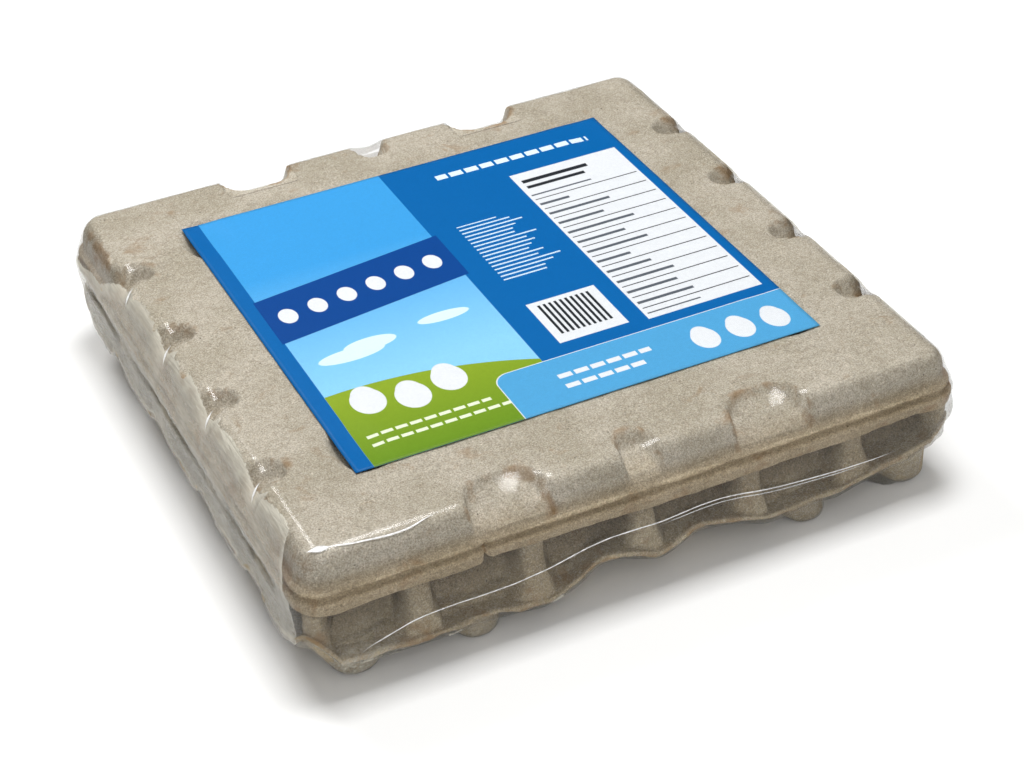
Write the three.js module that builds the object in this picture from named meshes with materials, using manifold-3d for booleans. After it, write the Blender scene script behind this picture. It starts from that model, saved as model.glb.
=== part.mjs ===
// A 30-egg pack: a moulded-pulp tray with its moulded-pulp lid, a printed paper label on the
// lid and a clear shrink film round it all. Millimetres, +Z up, front towards -Y, the middle
// of the footprint on the Z axis and the feet on Z = 0.

import * as THREE from 'three';
import { mergeVertices } from 'three/addons/utils/BufferGeometryUtils.js';
import Module from 'manifold-3d';

const wasm = await Module();
wasm.setup();

// ---------------------------------------------------------------- driving dimensions

const lid = {
  length: 300,          // outside of the rim bead, along X
  depth: 296,           // outside of the rim bead, along Y
  corner: 15,           // plan radius of the rim at its corners
  bottom: 45,           // height of the rim's lower edge above the floor
  top: 69,              // height of the flat top
  edgeStart: 12.5,      // inset where the flat top starts to round over
  edgeDrop: 10,         // height lost on the rounded top edge
  wallInset: 4.2,       // inset of the wall just under the rounded edge
  rimWall: 3.6,         // thickness of the rim round the hollow underside
  hollow: 8,            // depth of the hollow that takes the tray's upper edge
  closeUp: 40,          // length by each corner over which the shape closes up with its inset
};

// The rim from its shoulder, over a groove and the bead, down to its lower edge: inset from the
// bead's outside and height above the lower edge.
const rimProfile = [[2.4, 9.6], [1.4, 8.4], [1.3, 6.9], [0.2, 5], [0, 3.2], [0.9, 0]];

const scoop = {
  reach: 22,            // how far a scoop runs in from the rim
  spacingX: 59,         // spacing of the three scoops on the front and the back
  spacingY: 54.5,       // spacing of the four scoops on each side
  wide: 18,             // half width of the two wide scoops on the front and the back
  narrow: 8.5,          // half width of every other scoop
  floorLow: 10,         // height of the scoop's floor over the lower edge, at the rim
  floorSlope: 0.5,      // rise of that floor for each millimetre inwards
  edgeStart: 0.7,       // share of the scoop's size at which its edge starts to round up
};

// Four shallow pits in the flat top, half covered by the label's corners.
const pit = { x: 97, y: 88, shiftY: 5, halfX: 13, halfY: 19, depth: 5, floorShare: 0.7, sides: 20 };

const tray = {
  inset: 1,             // the tray's flange stands this far inside the lid's rim
  corner: 14,
  cellsX: 6,
  cellsY: 5,
  pitchX: 49.5,
  pitchY: 58.4,
  top: 52,              // upper edge, inside the lid's hollow
  postHalf: 5,          // half width of a post's face
  creaseHalf: 9,        // distance from a post's middle to the crease beside it
  postLow: 0.6,         // inset of a post at the flange
  postHigh: 5.4,        // and at the lid
  cornerHigh: 1,        // inset of a corner post just under the lid
  lidGap: 0.6,          // the corner posts stop this far under the lid's rim
  shelf: 1,             // height of the shelf that ends them
  nicheMid: 8,          // inset of a cell's wall at its middle, at the flange
  nicheCrease: 4,       // how much deeper the creases are
  nicheLean: 5,         // how much further in the cell walls stand at the lid
  floor: 21,            // underside between the feet
};

// The tray's flange. Its lower edge waves. On the front and the back it is low, with two high
// arches for the fingers. On the sides it has a height under a post and how much it rises from
// there over a cell and an end cell.
const flange = {
  thick: 2.6,
  deep: 12,             // inset at which the underside turns level
  cornerRise: 9,        // how much higher the lower edge is in the middle of a corner
  low: 15,              // height from which the cell walls start to lean in
  front: [              // distance along the front or the back, and height of the lower edge
    [-135, 18], [-124, 13], [-111, 15], [-90, 14.5], [-74, 16.5], [-59, 14], [-49, 12], [-40, 14.2],
    [-33, 17], [-23, 24.5], [-14, 24], [-6, 20.5], [4, 16.7], [10, 18.5], [22, 24.5], [37, 22],
    [55, 15.4], [64, 15.8], [77, 18], [90, 17], [104, 20], [115, 23.2], [124, 24], [135, 27],
  ],
  side: { low: 24, cell: -4.5, endCell: -6, corner: 24 },
  archFrom: 3,          // distance from a post's middle at which the sides' wave starts
  archTo: 15,           // and reaches its full height
};

const foot = {
  pitchX: 51.3,         // the soles are spread a little wider than the cells
  shiftX: 4.5,          // and stand to the right of them
  halfSole: 9,
  halfTopX: 18,
  halfTopY: 21,
  soleRound: 1.6,       // height over which the edge of a sole rounds off
  soleShrink: 0.2,      // how much smaller the flat of the sole is
  flareDrop: 4,         // height under the tray's floor over which the top of a foot flares
  flare: 0.8,           // share of the top's extra width that is left there
  squareness: 0.75,     // 1 is an oval, less is squarer
  setOut: 15.5,         // how far the front and the back feet's soles stand out from their cells
  cornerSetOut: 12.5,   // and how far those of the corner feet do
  topSetOut: { x: 4, y: 2 },    // how far the outer feet's tops stand out
  setBack: 5,           // how far the feet behind the finger notches are set back
  sides: 10,
};

const label = { length: 213, depth: 207, x: 0.6, y: 2.6, thickness: 0.3, gap: 0.3 };

const film = {
  thickness: 0.4,
  topShare: 0.4,        // share of the thickness by which it stands further out at the top
  gap: 0.3,
  hem: 0.5,             // how far its hem lies under the flange's lower edge
  flatInset: 38,        // inset of the ring that closes the flat top
  clingHeight: 8,       // how far up from the flange it clings before it slants to the rim
};

const cornerSteps = 4;    // straight steps round each quarter turn of a plan corner
const smallestCorner = 3; // plan radius that is left far inside a corner

// ---------------------------------------------------------------- materials

const pulp = (color) => new THREE.MeshStandardMaterial({ color, roughness: 0.9, metalness: 0 });
const lidPulp = pulp('#c6bdac');
const trayPulp = pulp('#b5ac9b');
const labelPaper = new THREE.MeshStandardMaterial({ color: '#0f6fbe', roughness: 0.4, metalness: 0 });
const clearFilm = new THREE.MeshStandardMaterial({
  color: '#f2f4f4',
  roughness: 0.08,
  metalness: 0,
  transparent: true,
  opacity: 0.15,
});

// ---------------------------------------------------------------- small helpers

const { clamp, lerp, smoothstep } = THREE.MathUtils;

// Distance from v to the nearest of several values.
const nearest = (v, values) => Math.min(...values.map((w) => Math.abs(v - w)));

// count values, spaced by pitch and centred on zero.
const spread = (count, pitch) => Array.from({ length: count }, (_, i) => (i - (count - 1) / 2) * pitch);

const uniqueSorted = (values) => [...new Set(values)].sort((a, b) => a - b);

// ---------------------------------------------------------------- stations round a pack

// A station is one place on the rounded-rectangle outline, as seen from above, anticlockwise
// from the front's left end: on a straight side it has the side's number and the distance
// along it, and on a corner it has the share of the quarter turn.
function stationsRound(alongX, alongY, cornerSteps) {
  const round = [];
  for (let side = 0; side < 4; side += 1) {
    const along = side % 2 === 0 ? alongX : alongY;
    const ordered = side < 2 ? along : [...along].reverse();
    ordered.forEach((distance) => round.push({ side, along: distance, turn: null }));
    for (let step = 1; step < cornerSteps; step += 1) {
      round.push({ side, along: null, turn: step / cornerSteps });
    }
  }
  return round;
}

// Where a station lies on the outline of a box drawn in by an inset. Along a side the station
// keeps its distance from the middle, except near the corners, where it closes up.
function placeStation(station, box, inset) {
  const radius = Math.max(box.corner - inset, smallestCorner);
  const straightX = box.length / 2 - inset - radius;
  const straightY = box.depth / 2 - inset - radius;
  const corners = [[1, -1], [1, 1], [-1, 1], [-1, -1]];
  if (station.turn !== null) {
    const [signX, signY] = corners[station.side];
    const angle = (station.side - 1 + station.turn) * Math.PI / 2;
    return new THREE.Vector2(
      signX * straightX + radius * Math.cos(angle),
      signY * straightY + radius * Math.sin(angle),
    );
  }
  const onX = station.side % 2 === 0;
  const full = (onX ? box.length : box.depth) / 2 - box.corner;
  const now = onX ? straightX : straightY;
  const keep = full - lid.closeUp;
  const size = Math.abs(station.along);
  const closed = size <= keep ? size : keep + (size - keep) * (now - keep) / (full - keep);
  const along = Math.sign(station.along) * closed;
  const across = onX ? box.depth / 2 - inset : box.length / 2 - inset;
  return [
    new THREE.Vector2(along, -across),
    new THREE.Vector2(across, along),
    new THREE.Vector2(along, across),
    new THREE.Vector2(-across, along),
  ][station.side];
}

// ---------------------------------------------------------------- lofted solids

// A closed solid through rings of equal length, from the middle of its top, over the outside,
// to the middle of its underside.
function loft(rings) {
  const count = rings[0].length;
  const position = rings.flat().flatMap((p) => [p.x, p.y, p.z]);
  const index = [];
  for (let k = 0; k < rings.length - 1; k += 1) {
    for (let i = 0; i < count; i += 1) {
      const j = (i + 1) % count;
      const [a, b, c, d] = [k * count + i, (k + 1) * count + i, (k + 1) * count + j, k * count + j];
      index.push(a, b, c, a, c, d);
    }
  }
  const flat = (ring) => ring.map((p) => new THREE.Vector2(p.x, p.y));
  const last = (rings.length - 1) * count;
  THREE.ShapeUtils.triangulateShape(flat(rings[0]), []).forEach(([a, b, c]) => index.push(a, b, c));
  THREE.ShapeUtils.triangulateShape(flat(rings[rings.length - 1]), [])
    .forEach(([a, b, c]) => index.push(last + c, last + b, last + a));
  const geometry = new THREE.BufferGeometry();
  geometry.setAttribute('position', new THREE.Float32BufferAttribute(position, 3));
  geometry.setIndex(index);
  return geometry;
}

const toSolid = (source) => {
  const geometry = source.clone();
  geometry.deleteAttribute('normal');
  geometry.deleteAttribute('uv');
  const merged = mergeVertices(geometry, 1e-4);
  return new wasm.Manifold(new wasm.Mesh({
    numProp: 3,
    vertProperties: new Float32Array(merged.attributes.position.array),
    triVerts: new Uint32Array(merged.index.array),
  }));
};

const toGeometry = (solid) => {
  const mesh = solid.getMesh();
  const geometry = new THREE.BufferGeometry();
  geometry.setAttribute('position', new THREE.Float32BufferAttribute(mesh.vertProperties, 3));
  geometry.setIndex(new THREE.Uint32BufferAttribute(mesh.triVerts, 1));
  return geometry;
};

const named = (name, geometry, material) => {
  const mesh = new THREE.Mesh(geometry, material);
  mesh.name = name;
  return mesh;
};

// ---------------------------------------------------------------- lid

const scoopsX = spread(3, scoop.spacingX);
const scoopsY = spread(4, scoop.spacingY);
const scoopHalf = (onX, at) => (onX && at !== 0 ? scoop.wide : scoop.narrow);

// How much of a scoop there is at a point: 1 on its floor, 0 outside its rounded edge.
function scoopShare(along, inset, at, half) {
  const side = Math.abs(along - at) / half;
  const inward = clamp(inset / scoop.reach, 0, 2);
  const radius = Math.cbrt(side ** 3 + inward ** 3);
  return 1 - smoothstep(radius, scoop.edgeStart, 1);
}

// Height of the lid's surface where the plain profile has the given height: the scoops sink
// it to a floor that falls towards the rim.
function scoopedHeight(point, plain) {
  const floorAt = (inset) => lid.bottom + scoop.floorLow + scoop.floorSlope * inset;
  const insetX = lid.length / 2 - Math.abs(point.x);
  const insetY = lid.depth / 2 - Math.abs(point.y);
  let height = plain;
  const sink = (along, inset, at, half) => {
    const share = scoopShare(along, inset, at, half);
    height = Math.min(height, lerp(plain, Math.min(plain, floorAt(inset)), share));
  };
  scoopsX.forEach((at) => sink(point.x, insetY, at, scoopHalf(true, at)));
  scoopsY.forEach((at) => sink(point.y, insetX, at, scoopHalf(false, at)));
  return height;
}

// Inset and height along the rounded top edge, moved outwards by a clearance.
function roundedEdge(clearance) {
  const steps = 3;
  const across = lid.edgeStart - lid.wallInset + clearance;
  const down = lid.edgeDrop + clearance;
  return Array.from({ length: steps + 1 }, (_, k) => {
    const angle = (k / steps) * Math.PI / 2;
    return [lid.edgeStart - across * Math.sin(angle), lid.top - lid.edgeDrop + down * Math.cos(angle)];
  });
}

// Stations along a side: several across every scoop, one between scoops, two by the corner.
function lidStations(onX) {
  const scoops = onX ? scoopsX : scoopsY;
  const straight = (onX ? lid.length : lid.depth) / 2 - lid.corner;
  const acrossScoop = [-1, -0.85, -0.65, 0, 0.65, 0.85, 1];
  const values = scoops.flatMap((at) => acrossScoop.map((share) => at + share * scoopHalf(onX, at)));
  const between = scoops.slice(1).map((at, i) => (at + scoops[i]) / 2);
  return uniqueSorted([...values, ...between, -straight, straight, -straight + 18, straight - 18]);
}

function makeLid() {
  const stations = stationsRound(lidStations(true), lidStations(false), cornerSteps);
  const inner = [scoop.reach + 4, scoop.reach + 0.5, scoop.reach - 2, scoop.reach - 5]
    .map((inset) => [inset, lid.top]);
  const edge = roundedEdge(0);
  const [lowerEdge] = rimProfile[rimProfile.length - 1];
  const hollow = [[lowerEdge + lid.rimWall, 0], [lowerEdge + lid.rimWall + 0.4, lid.hollow]];
  const rim = [...rimProfile, ...hollow].map(([inset, height]) => [inset, lid.bottom + height]);
  const profile = [...inner, ...edge, ...rim];
  const scooped = inner.length + edge.length;
  const rings = profile.map(([inset, height], k) => stations.map((station) => {
    const point = placeStation(station, lid, inset);
    const z = k > 0 && k < scooped ? scoopedHeight(point, height) : height;
    return new THREE.Vector3(point.x, point.y, z);
  }));
  let solid = toSolid(loft(rings));
  [[1, 1], [1, -1], [-1, 1], [-1, -1]].forEach(([signX, signY]) => {
    solid = solid.subtract(toSolid(pitCutter(signX * pit.x, signY * pit.y + pit.shiftY)));
  });
  return toGeometry(solid);
}

// An oval cutter with sloping sides: a turned profile, widened along Y.
function pitCutter(x, y) {
  const above = 2;
  const flare = (pit.halfX * (1 - pit.floorShare)) / pit.depth;
  const outline = [
    new THREE.Vector2(0, -pit.depth),
    new THREE.Vector2(pit.halfX * pit.floorShare * 0.8, -pit.depth),
    new THREE.Vector2(pit.halfX * pit.floorShare, -pit.depth * 0.8),
    new THREE.Vector2(pit.halfX + above * flare, above),
    new THREE.Vector2(0, above),
  ];
  const geometry = new THREE.LatheGeometry(outline, pit.sides);
  geometry.rotateX(Math.PI / 2);
  geometry.scale(1, pit.halfY / pit.halfX, 1);
  geometry.translate(x, y, lid.top);
  return geometry;
}

// ---------------------------------------------------------------- tray

const trayBox = {
  length: lid.length - 2 * tray.inset,
  depth: lid.depth - 2 * tray.inset,
  corner: tray.corner,
};
const gapsX = spread(tray.cellsX - 1, tray.pitchX);
const gapsY = spread(tray.cellsY - 1, tray.pitchY);
const cellsX = spread(tray.cellsX, tray.pitchX);
const cellsY = spread(tray.cellsY, tray.pitchY);
const fingerCells = cellsX.filter((x) => Math.abs(x) < tray.pitchX);

// Distance along the outline from a station to the end of its side, 0 round a corner.
function endDistance(station) {
  if (station.turn !== null) return 0;
  const side = station.side % 2 === 0 ? trayBox.length : trayBox.depth;
  return side / 2 - trayBox.corner - Math.abs(station.along);
}

// Distance along the outline from a station to the middle of the nearest corner's rounding.
function cornerDistance(station) {
  const halfArc = (trayBox.corner * Math.PI) / 4;
  return station.turn === null
    ? halfArc + endDistance(station)
    : Math.abs(2 * station.turn - 1) * halfArc;
}

// Distance along the outline from a station to the middle of the nearest post. There is one in
// the middle of every corner too.
function postDistance(station) {
  if (station.turn !== null) return cornerDistance(station);
  return nearest(station.along, station.side % 2 === 0 ? gapsX : gapsY);
}

// Inset of the tray's wall: posts stand out, the cells' walls bow out less, with a crease on
// each side of a post. Both lean inwards towards the lid, except the corner posts, which stand
// nearly upright as far as the shelf under the lid's rim.
function wallInset(station, height) {
  const distance = postDistance(station);
  const upwards = clamp((height - flange.low) / (lid.bottom - flange.low), 0, 1);
  const cell = smoothstep(distance, tray.postHalf, tray.creaseHalf);
  const crease = 1 - smoothstep(distance, tray.creaseHalf, tray.pitchX / 2);
  const cornerPost = cornerDistance(station) < tray.creaseHalf && height < lid.bottom - tray.lidGap;
  const post = lerp(tray.postLow, cornerPost ? tray.cornerHigh : tray.postHigh, upwards);
  const niche = tray.nicheMid + tray.nicheCrease * crease + tray.nicheLean * upwards;
  return lerp(post, niche, cell);
}

// Height of the flange's lower edge along the front and the back, straight from each given
// place to the next.
function frontHeight(along) {
  const next = Math.max(1, flange.front.findIndex(([at]) => at >= along));
  const [from, low] = flange.front[next - 1];
  const [to, high] = flange.front[next];
  return lerp(low, high, (along - from) / (to - from));
}

// And along the sides.
function sideHeight(station) {
  const { low, cell, endCell, corner } = flange.side;
  const rise = Math.abs(station.along) > gapsY[gapsY.length - 1] ? endCell : cell;
  const height = low + rise * smoothstep(nearest(station.along, gapsY), flange.archFrom, flange.archTo);
  return lerp(corner, height, smoothstep(endDistance(station), 0, tray.corner));
}

// Height of the flange's lower edge at a station. Round a corner it runs from one side's height
// to the next side's, and arches up between them.
function flangeHeight(station) {
  const { side, along, turn } = station;
  if (turn === null) return side % 2 === 0 ? frontHeight(along) : sideHeight(station);
  const straight = trayBox.length / 2 - trayBox.corner;
  const front = frontHeight(side < 2 ? straight : -straight);
  const share = side % 2 === 0 ? turn : 1 - turn;
  return lerp(front, flange.side.corner, share) + flange.cornerRise * Math.sin(Math.PI * turn);
}

function trayStations(onX) {
  const gaps = onX ? gapsX : gapsY;
  const cells = onX ? cellsX : cellsY;
  const straight = (onX ? trayBox.length : trayBox.depth) / 2 - trayBox.corner;
  const besidePost = [tray.postHalf, tray.creaseHalf, tray.creaseHalf + 6];
  const posts = gaps.flatMap((at) => [at, ...besidePost.flatMap((d) => [at - d, at + d])]);
  const ends = [straight, straight - tray.postHalf].flatMap((d) => [-d, d]);
  return uniqueSorted([...posts, ...cells, ...ends]);
}

function makeSkirt() {
  const stations = stationsRound(trayStations(true), trayStations(false), cornerSteps);
  const ring = (insetAt, heightAt) => stations.map((station) => {
    const point = placeStation(station, trayBox, insetAt(station));
    return new THREE.Vector3(point.x, point.y, heightAt(station));
  });
  const wall = (height) => ring((s) => wallInset(s, height), () => height);
  const flangeTop = (s) => flangeHeight(s) + flange.thick;
  return loft([
    wall(tray.top),
    wall(lid.bottom - tray.lidGap),
    wall(lid.bottom - tray.lidGap - tray.shelf),
    wall((flange.low + lid.bottom) / 2),
    ring((s) => wallInset(s, flangeTop(s)), (s) => flangeTop(s) + 0.8),
    ring(() => 0.3, flangeTop),
    ring(() => 0, (s) => flangeHeight(s) + 0.5),
    ring(() => 1.2, flangeHeight),
    ring(() => flange.deep / 2, (s) => Math.min(flangeHeight(s) + 1.5, tray.floor)),
    ring(() => flange.deep, () => tray.floor),
  ]);
}

// One foot: the underside of an egg cup. The outer feet stand out towards the flange, and the
// feet behind the finger notches are set back.
function makeFoot(x, y) {
  const outer = (at, cells) => (Math.abs(at) > cells[cells.length - 1] - 1 ? Math.sign(at) : 0);
  const edgeX = outer(x, cellsX);
  const edgeY = outer(y, cellsY);
  const notched = edgeY !== 0 && fingerCells.includes(x);
  const setOut = edgeX === 0 ? foot.setOut : foot.cornerSetOut;
  const levels = [
    { height: tray.floor + 0.5, widen: 1 },
    { height: tray.floor - foot.flareDrop, widen: foot.flare },
    { height: foot.soleRound, widen: 0 },
    { height: 0, widen: -foot.soleShrink },
  ];
  return loft(levels.map(({ height, widen }) => {
    const halfX = lerp(foot.halfSole, foot.halfTopX, widen);
    const halfY = lerp(foot.halfSole, foot.halfTopY, widen);
    const soleMoveX = x * (foot.pitchX / tray.pitchX - 1) + foot.shiftX;
    const moveX = lerp(soleMoveX, edgeX * foot.topSetOut.x, widen);
    const moveY = notched ? -edgeY * foot.setBack : edgeY * lerp(setOut, foot.topSetOut.y, widen);
    const squared = (v) => Math.sign(v) * Math.abs(v) ** foot.squareness;
    return Array.from({ length: foot.sides }, (_, i) => {
      const angle = (i / foot.sides) * 2 * Math.PI;
      const px = x + moveX + halfX * squared(Math.cos(angle));
      const py = y + moveY + halfY * squared(Math.sin(angle));
      return new THREE.Vector3(px, py, height);
    });
  }));
}

function makeTray() {
  let solid = toSolid(makeSkirt());
  cellsX.forEach((x) => cellsY.forEach((y) => {
    solid = solid.add(toSolid(makeFoot(x, y)));
  }));
  return toGeometry(solid);
}

// ---------------------------------------------------------------- label and film

function makeLabel() {
  const geometry = new THREE.BoxGeometry(label.length, label.depth, label.thickness);
  geometry.translate(label.x, label.y, lid.top + label.gap + label.thickness / 2);
  return geometry;
}

// The film is one skin over the top and the four sides, open underneath. It is pulled straight
// from the flange to the rim, and from the rim to the rounded top edge, over every scoop. Its
// hem waves with the flange.
function makeFilm() {
  const stations = stationsRound(filmStations(true), filmStations(false), cornerSteps);
  const out = film.gap;
  const level = (height) => () => height;
  const inside = [
    [film.flatInset, level(lid.top + label.gap + label.thickness + film.gap)],
    ...roundedEdge(out).map(([inset, height]) => [inset, level(height)]),
    [-out, level(lid.bottom + 5.5)],
    [tray.inset - out, (s) => flangeHeight(s) + film.clingHeight],
    [tray.inset - out, (s) => flangeHeight(s) - film.hem],
  ];
  const ringOf = ([inset, heightAt], thickness) => stations.map((station) => {
    const height = heightAt(station);
    const onTop = smoothstep(height, lid.bottom, lid.top);
    const outwards = lerp(thickness, thickness * film.topShare, onTop);
    const point = placeStation(station, lid, inset - outwards);
    return new THREE.Vector3(point.x, point.y, height + thickness * onTop);
  });
  return loft([
    ...inside.map((row) => ringOf(row, film.thickness)),
    ...inside.reverse().map((row) => ringOf(row, 0)),
  ]);
}

// Stations of the film along a side: at every post, cell and corner.
function filmStations(onX) {
  const straight = (onX ? lid.length : lid.depth) / 2 - lid.corner;
  return uniqueSorted([...(onX ? gapsX : gapsY), ...(onX ? cellsX : cellsY), -straight, straight]);
}

// ---------------------------------------------------------------- the pack

const pack = new THREE.Group();
pack.add(named('tray', makeTray(), trayPulp));
pack.add(named('lid', makeLid(), lidPulp));
pack.add(named('label', makeLabel(), labelPaper));
pack.add(named('film', makeFilm(), clearFilm));

export default pack;
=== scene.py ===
import bpy
import numpy as np
from mathutils import Matrix


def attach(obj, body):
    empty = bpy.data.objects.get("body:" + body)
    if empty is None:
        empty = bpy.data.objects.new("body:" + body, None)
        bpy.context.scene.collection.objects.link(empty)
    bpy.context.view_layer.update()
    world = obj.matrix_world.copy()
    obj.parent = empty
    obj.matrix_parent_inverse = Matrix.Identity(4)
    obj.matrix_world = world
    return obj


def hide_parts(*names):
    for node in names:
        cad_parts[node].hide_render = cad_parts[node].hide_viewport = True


# A shrink-wrapped pulp pack of thirty eggs: pulp tray, pulp lid, paper label, clear film.
# Shapes are worked out in millimetres with numpy and become metres as they go into a mesh.

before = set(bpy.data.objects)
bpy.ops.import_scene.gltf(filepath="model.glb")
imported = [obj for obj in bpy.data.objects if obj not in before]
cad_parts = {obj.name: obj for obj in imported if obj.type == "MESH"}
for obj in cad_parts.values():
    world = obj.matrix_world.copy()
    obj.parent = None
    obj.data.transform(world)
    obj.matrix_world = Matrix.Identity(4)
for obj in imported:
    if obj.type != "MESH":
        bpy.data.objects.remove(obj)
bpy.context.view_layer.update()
millimetre = 0.001
rng = np.random.default_rng(30)

# Measurements shared by the pieces. They are the solids' own, except that the scoops and the
# first four heights of the flange's edge are set more closely here
lidBox = {"length": 300.0, "depth": 296.0, "corner": 15.0}
trayBox = {"length": 298.0, "depth": 294.0, "corner": 14.0}
rim = {"bottom": 45.0, "top": 69.0, "edgeStart": 12.5, "edgeDrop": 10.0, "wallInset": 4.2, "closeUp": 40.0}
scoop = {"reach": 23.0, "floorLow": 10.0, "floorSlope": 0.5, "narrowSlope": 0.42, "wide": 17.5, "narrow": 8.5}
scoopsX = [(-58.5, scoop["wide"]), (0.0, scoop["narrow"]), (59.0, scoop["wide"])]
scoopsY = [(at, scoop["narrow"]) for at in (-81.75, -27.25, 27.25, 81.75)]
flange = {
    "cornerRise": 9.0,
    "sideLow": 24.0, "sideCell": -4.5, "sideEnd": -6.0, "sideCorner": 24.0,
    "soften": 4.0,          # half the length over which the front's wave is rounded
    # places along the front and the back, and the height of the lower edge there
    "at": [-135, -124, -111, -90, -74, -59, -49, -40, -33, -23, -14, -6,
           4, 10, 22, 37, 55, 64, 77, 90, 104, 115, 124, 135],
    "height": [18.5, 17, 16, 14.8, 16.5, 14, 12, 14.2, 17, 24.5, 24, 20.5,
               16.7, 18.5, 24.5, 22, 15.4, 15.8, 18, 17, 20, 23.2, 24, 27],
}
pitchX = 49.5       # from the middle of a cell to the next, along X
pitchY = 58.4
cellsX = (np.arange(6) - 2.5) * pitchX
cellsY = (np.arange(5) - 2.0) * pitchY
postsX = (np.arange(5) - 2.0) * pitchX
postsY = (np.arange(4) - 1.5) * pitchY


# Small tools for shapes, meshes and materials

def smooth(value, low, high):
    # 3t^2 - 2t^3, with t the place of value between low and high
    t = np.clip((value - low) / (high - low), 0.0, 1.0)
    return t * t * (3.0 - 2.0 * t)


def blendTo(a, b, share):
    # a where share is 0, b where it is 1
    return a + (b - a) * share


def bell(value, at, width):
    # exp(-((value - at) / width)^2)
    return np.exp(-(((value - at) / width) ** 2))


noiseSize = 32
noiseTable = rng.random((noiseSize, noiseSize, noiseSize))


def lumps(points, size, offset=0.0):
    # Value noise from -1 to 1: random numbers on a cubic lattice of the given size, joined by
    # smooth steps along x, y and z
    place = points / size + offset + 100.0
    cell = np.floor(place).astype(int)
    t = place - cell
    t = t * t * t * (t * (t * 6.0 - 15.0) + 10.0)
    total = 0.0
    for dx in (0, 1):
        for dy in (0, 1):
            for dz in (0, 1):
                weight = (t[..., 0] if dx else 1 - t[..., 0])
                weight = weight * (t[..., 1] if dy else 1 - t[..., 1])
                weight = weight * (t[..., 2] if dz else 1 - t[..., 2])
                corner = [(cell[..., k] + step) % noiseSize for k, step in enumerate((dx, dy, dz))]
                total = total + weight * noiseTable[tuple(corner)]
    return total * 2.0 - 1.0


def stationsRound(box, spacing, cornerSteps):
    # Places round a rounded rectangle, anticlockwise from the front's left end: the side's
    # number, the distance along it, and on a corner the share of its quarter turn
    side, along, turn = [], [], []
    for k in range(4):
        straight = (box["length"] if k % 2 == 0 else box["depth"]) / 2 - box["corner"]
        steps = np.linspace(-straight, straight, round(2 * straight / spacing) + 1)
        steps = steps if k < 2 else steps[::-1]
        corner = np.arange(1, cornerSteps) / cornerSteps
        side.append(np.full(len(steps) + len(corner), k))
        along.append(np.concatenate([steps, np.zeros(len(corner))]))
        turn.append(np.concatenate([np.full(len(steps), np.nan), corner]))
    return {"side": np.concatenate(side), "along": np.concatenate(along), "turn": np.concatenate(turn)}


def outlineAt(stations, box, inset):
    # The rounded rectangle drawn in by inset: along a side a place keeps its distance from the
    # middle except in the last stretch by a corner, and far inside all distances shrink evenly
    side, along, turn = stations["side"], stations["along"], stations["turn"]
    inset = np.asarray(inset, float)
    if inset.ndim == 1 and len(inset) != len(side):
        inset = inset[:, None]
    inset = np.broadcast_to(inset, np.broadcast_shapes(inset.shape, side.shape))
    radius = np.maximum(box["corner"] - inset, 3.0)
    straightX = box["length"] / 2 - inset - radius
    straightY = box["depth"] / 2 - inset - radius
    onX = side % 2 == 0
    full = np.where(onX, box["length"], box["depth"]) / 2 - box["corner"]
    now = np.where(onX, straightX, straightY)
    keep = full - rim["closeUp"]
    size = np.abs(along)
    near = np.where(size <= keep, size, keep + (size - keep) * (now - keep) / (full - keep))
    placed = np.sign(along) * blendTo(near, size * now / full, smooth(inset, 26.0, 60.0))
    across = np.where(onX, box["depth"], box["length"]) / 2 - inset
    x = np.where(side == 0, placed, np.where(side == 1, across, np.where(side == 2, placed, -across)))
    y = np.where(side == 0, -across, np.where(side == 1, placed, np.where(side == 2, across, placed)))
    angle = (side - 1 + np.nan_to_num(turn)) * np.pi / 2
    cornerX = np.where((side == 0) | (side == 1), 1, -1) * straightX + radius * np.cos(angle)
    cornerY = np.where((side == 1) | (side == 2), 1, -1) * straightY + radius * np.sin(angle)
    turning = ~np.isnan(turn)
    return np.where(turning, cornerX, x), np.where(turning, cornerY, y)


def normalsOf(points):
    # Cross product of the steps along the rings and across them; the rings are closed
    alongRing = np.roll(points, -1, axis=1) - np.roll(points, 1, axis=1)
    acrossRings = np.gradient(points, axis=0)
    normal = np.cross(acrossRings, alongRing)
    return normal / np.maximum(np.linalg.norm(normal, axis=-1, keepdims=True), 1e-9)


def ringedMesh(name, points, attributes=None):
    # Quads between closed rings of equal length, a fan to the middle at each end, so the body
    # is closed; rings run from the middle of the top, over the outside, to the underside
    rings, count = points.shape[:2]
    top, base = points[0].mean(axis=0), points[-1].mean(axis=0)
    vertices = np.concatenate([points.reshape(-1, 3), [top, base]]) * millimetre
    i = np.arange(count)
    j = (i + 1) % count
    k = (np.arange(rings - 1) * count)[:, None]
    quads = np.stack([k + i, k + count + i, k + count + j, k + j], axis=-1).reshape(-1, 4)
    last = (rings - 1) * count
    fanTop = np.stack([np.full(count, rings * count), i, j], axis=-1)
    fanBase = np.stack([np.full(count, rings * count + 1), last + j, last + i], axis=-1)
    mesh = meshFrom(name, vertices, quads, np.concatenate([fanTop, fanBase]))
    for key, values in (attributes or {}).items():
        whole = np.concatenate([values.reshape(-1), [values[0].mean(), values[-1].mean()]])
        mesh.attributes.new(key, "FLOAT", "POINT").data.foreach_set("value", whole.astype(np.float32))
    return mesh


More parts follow.
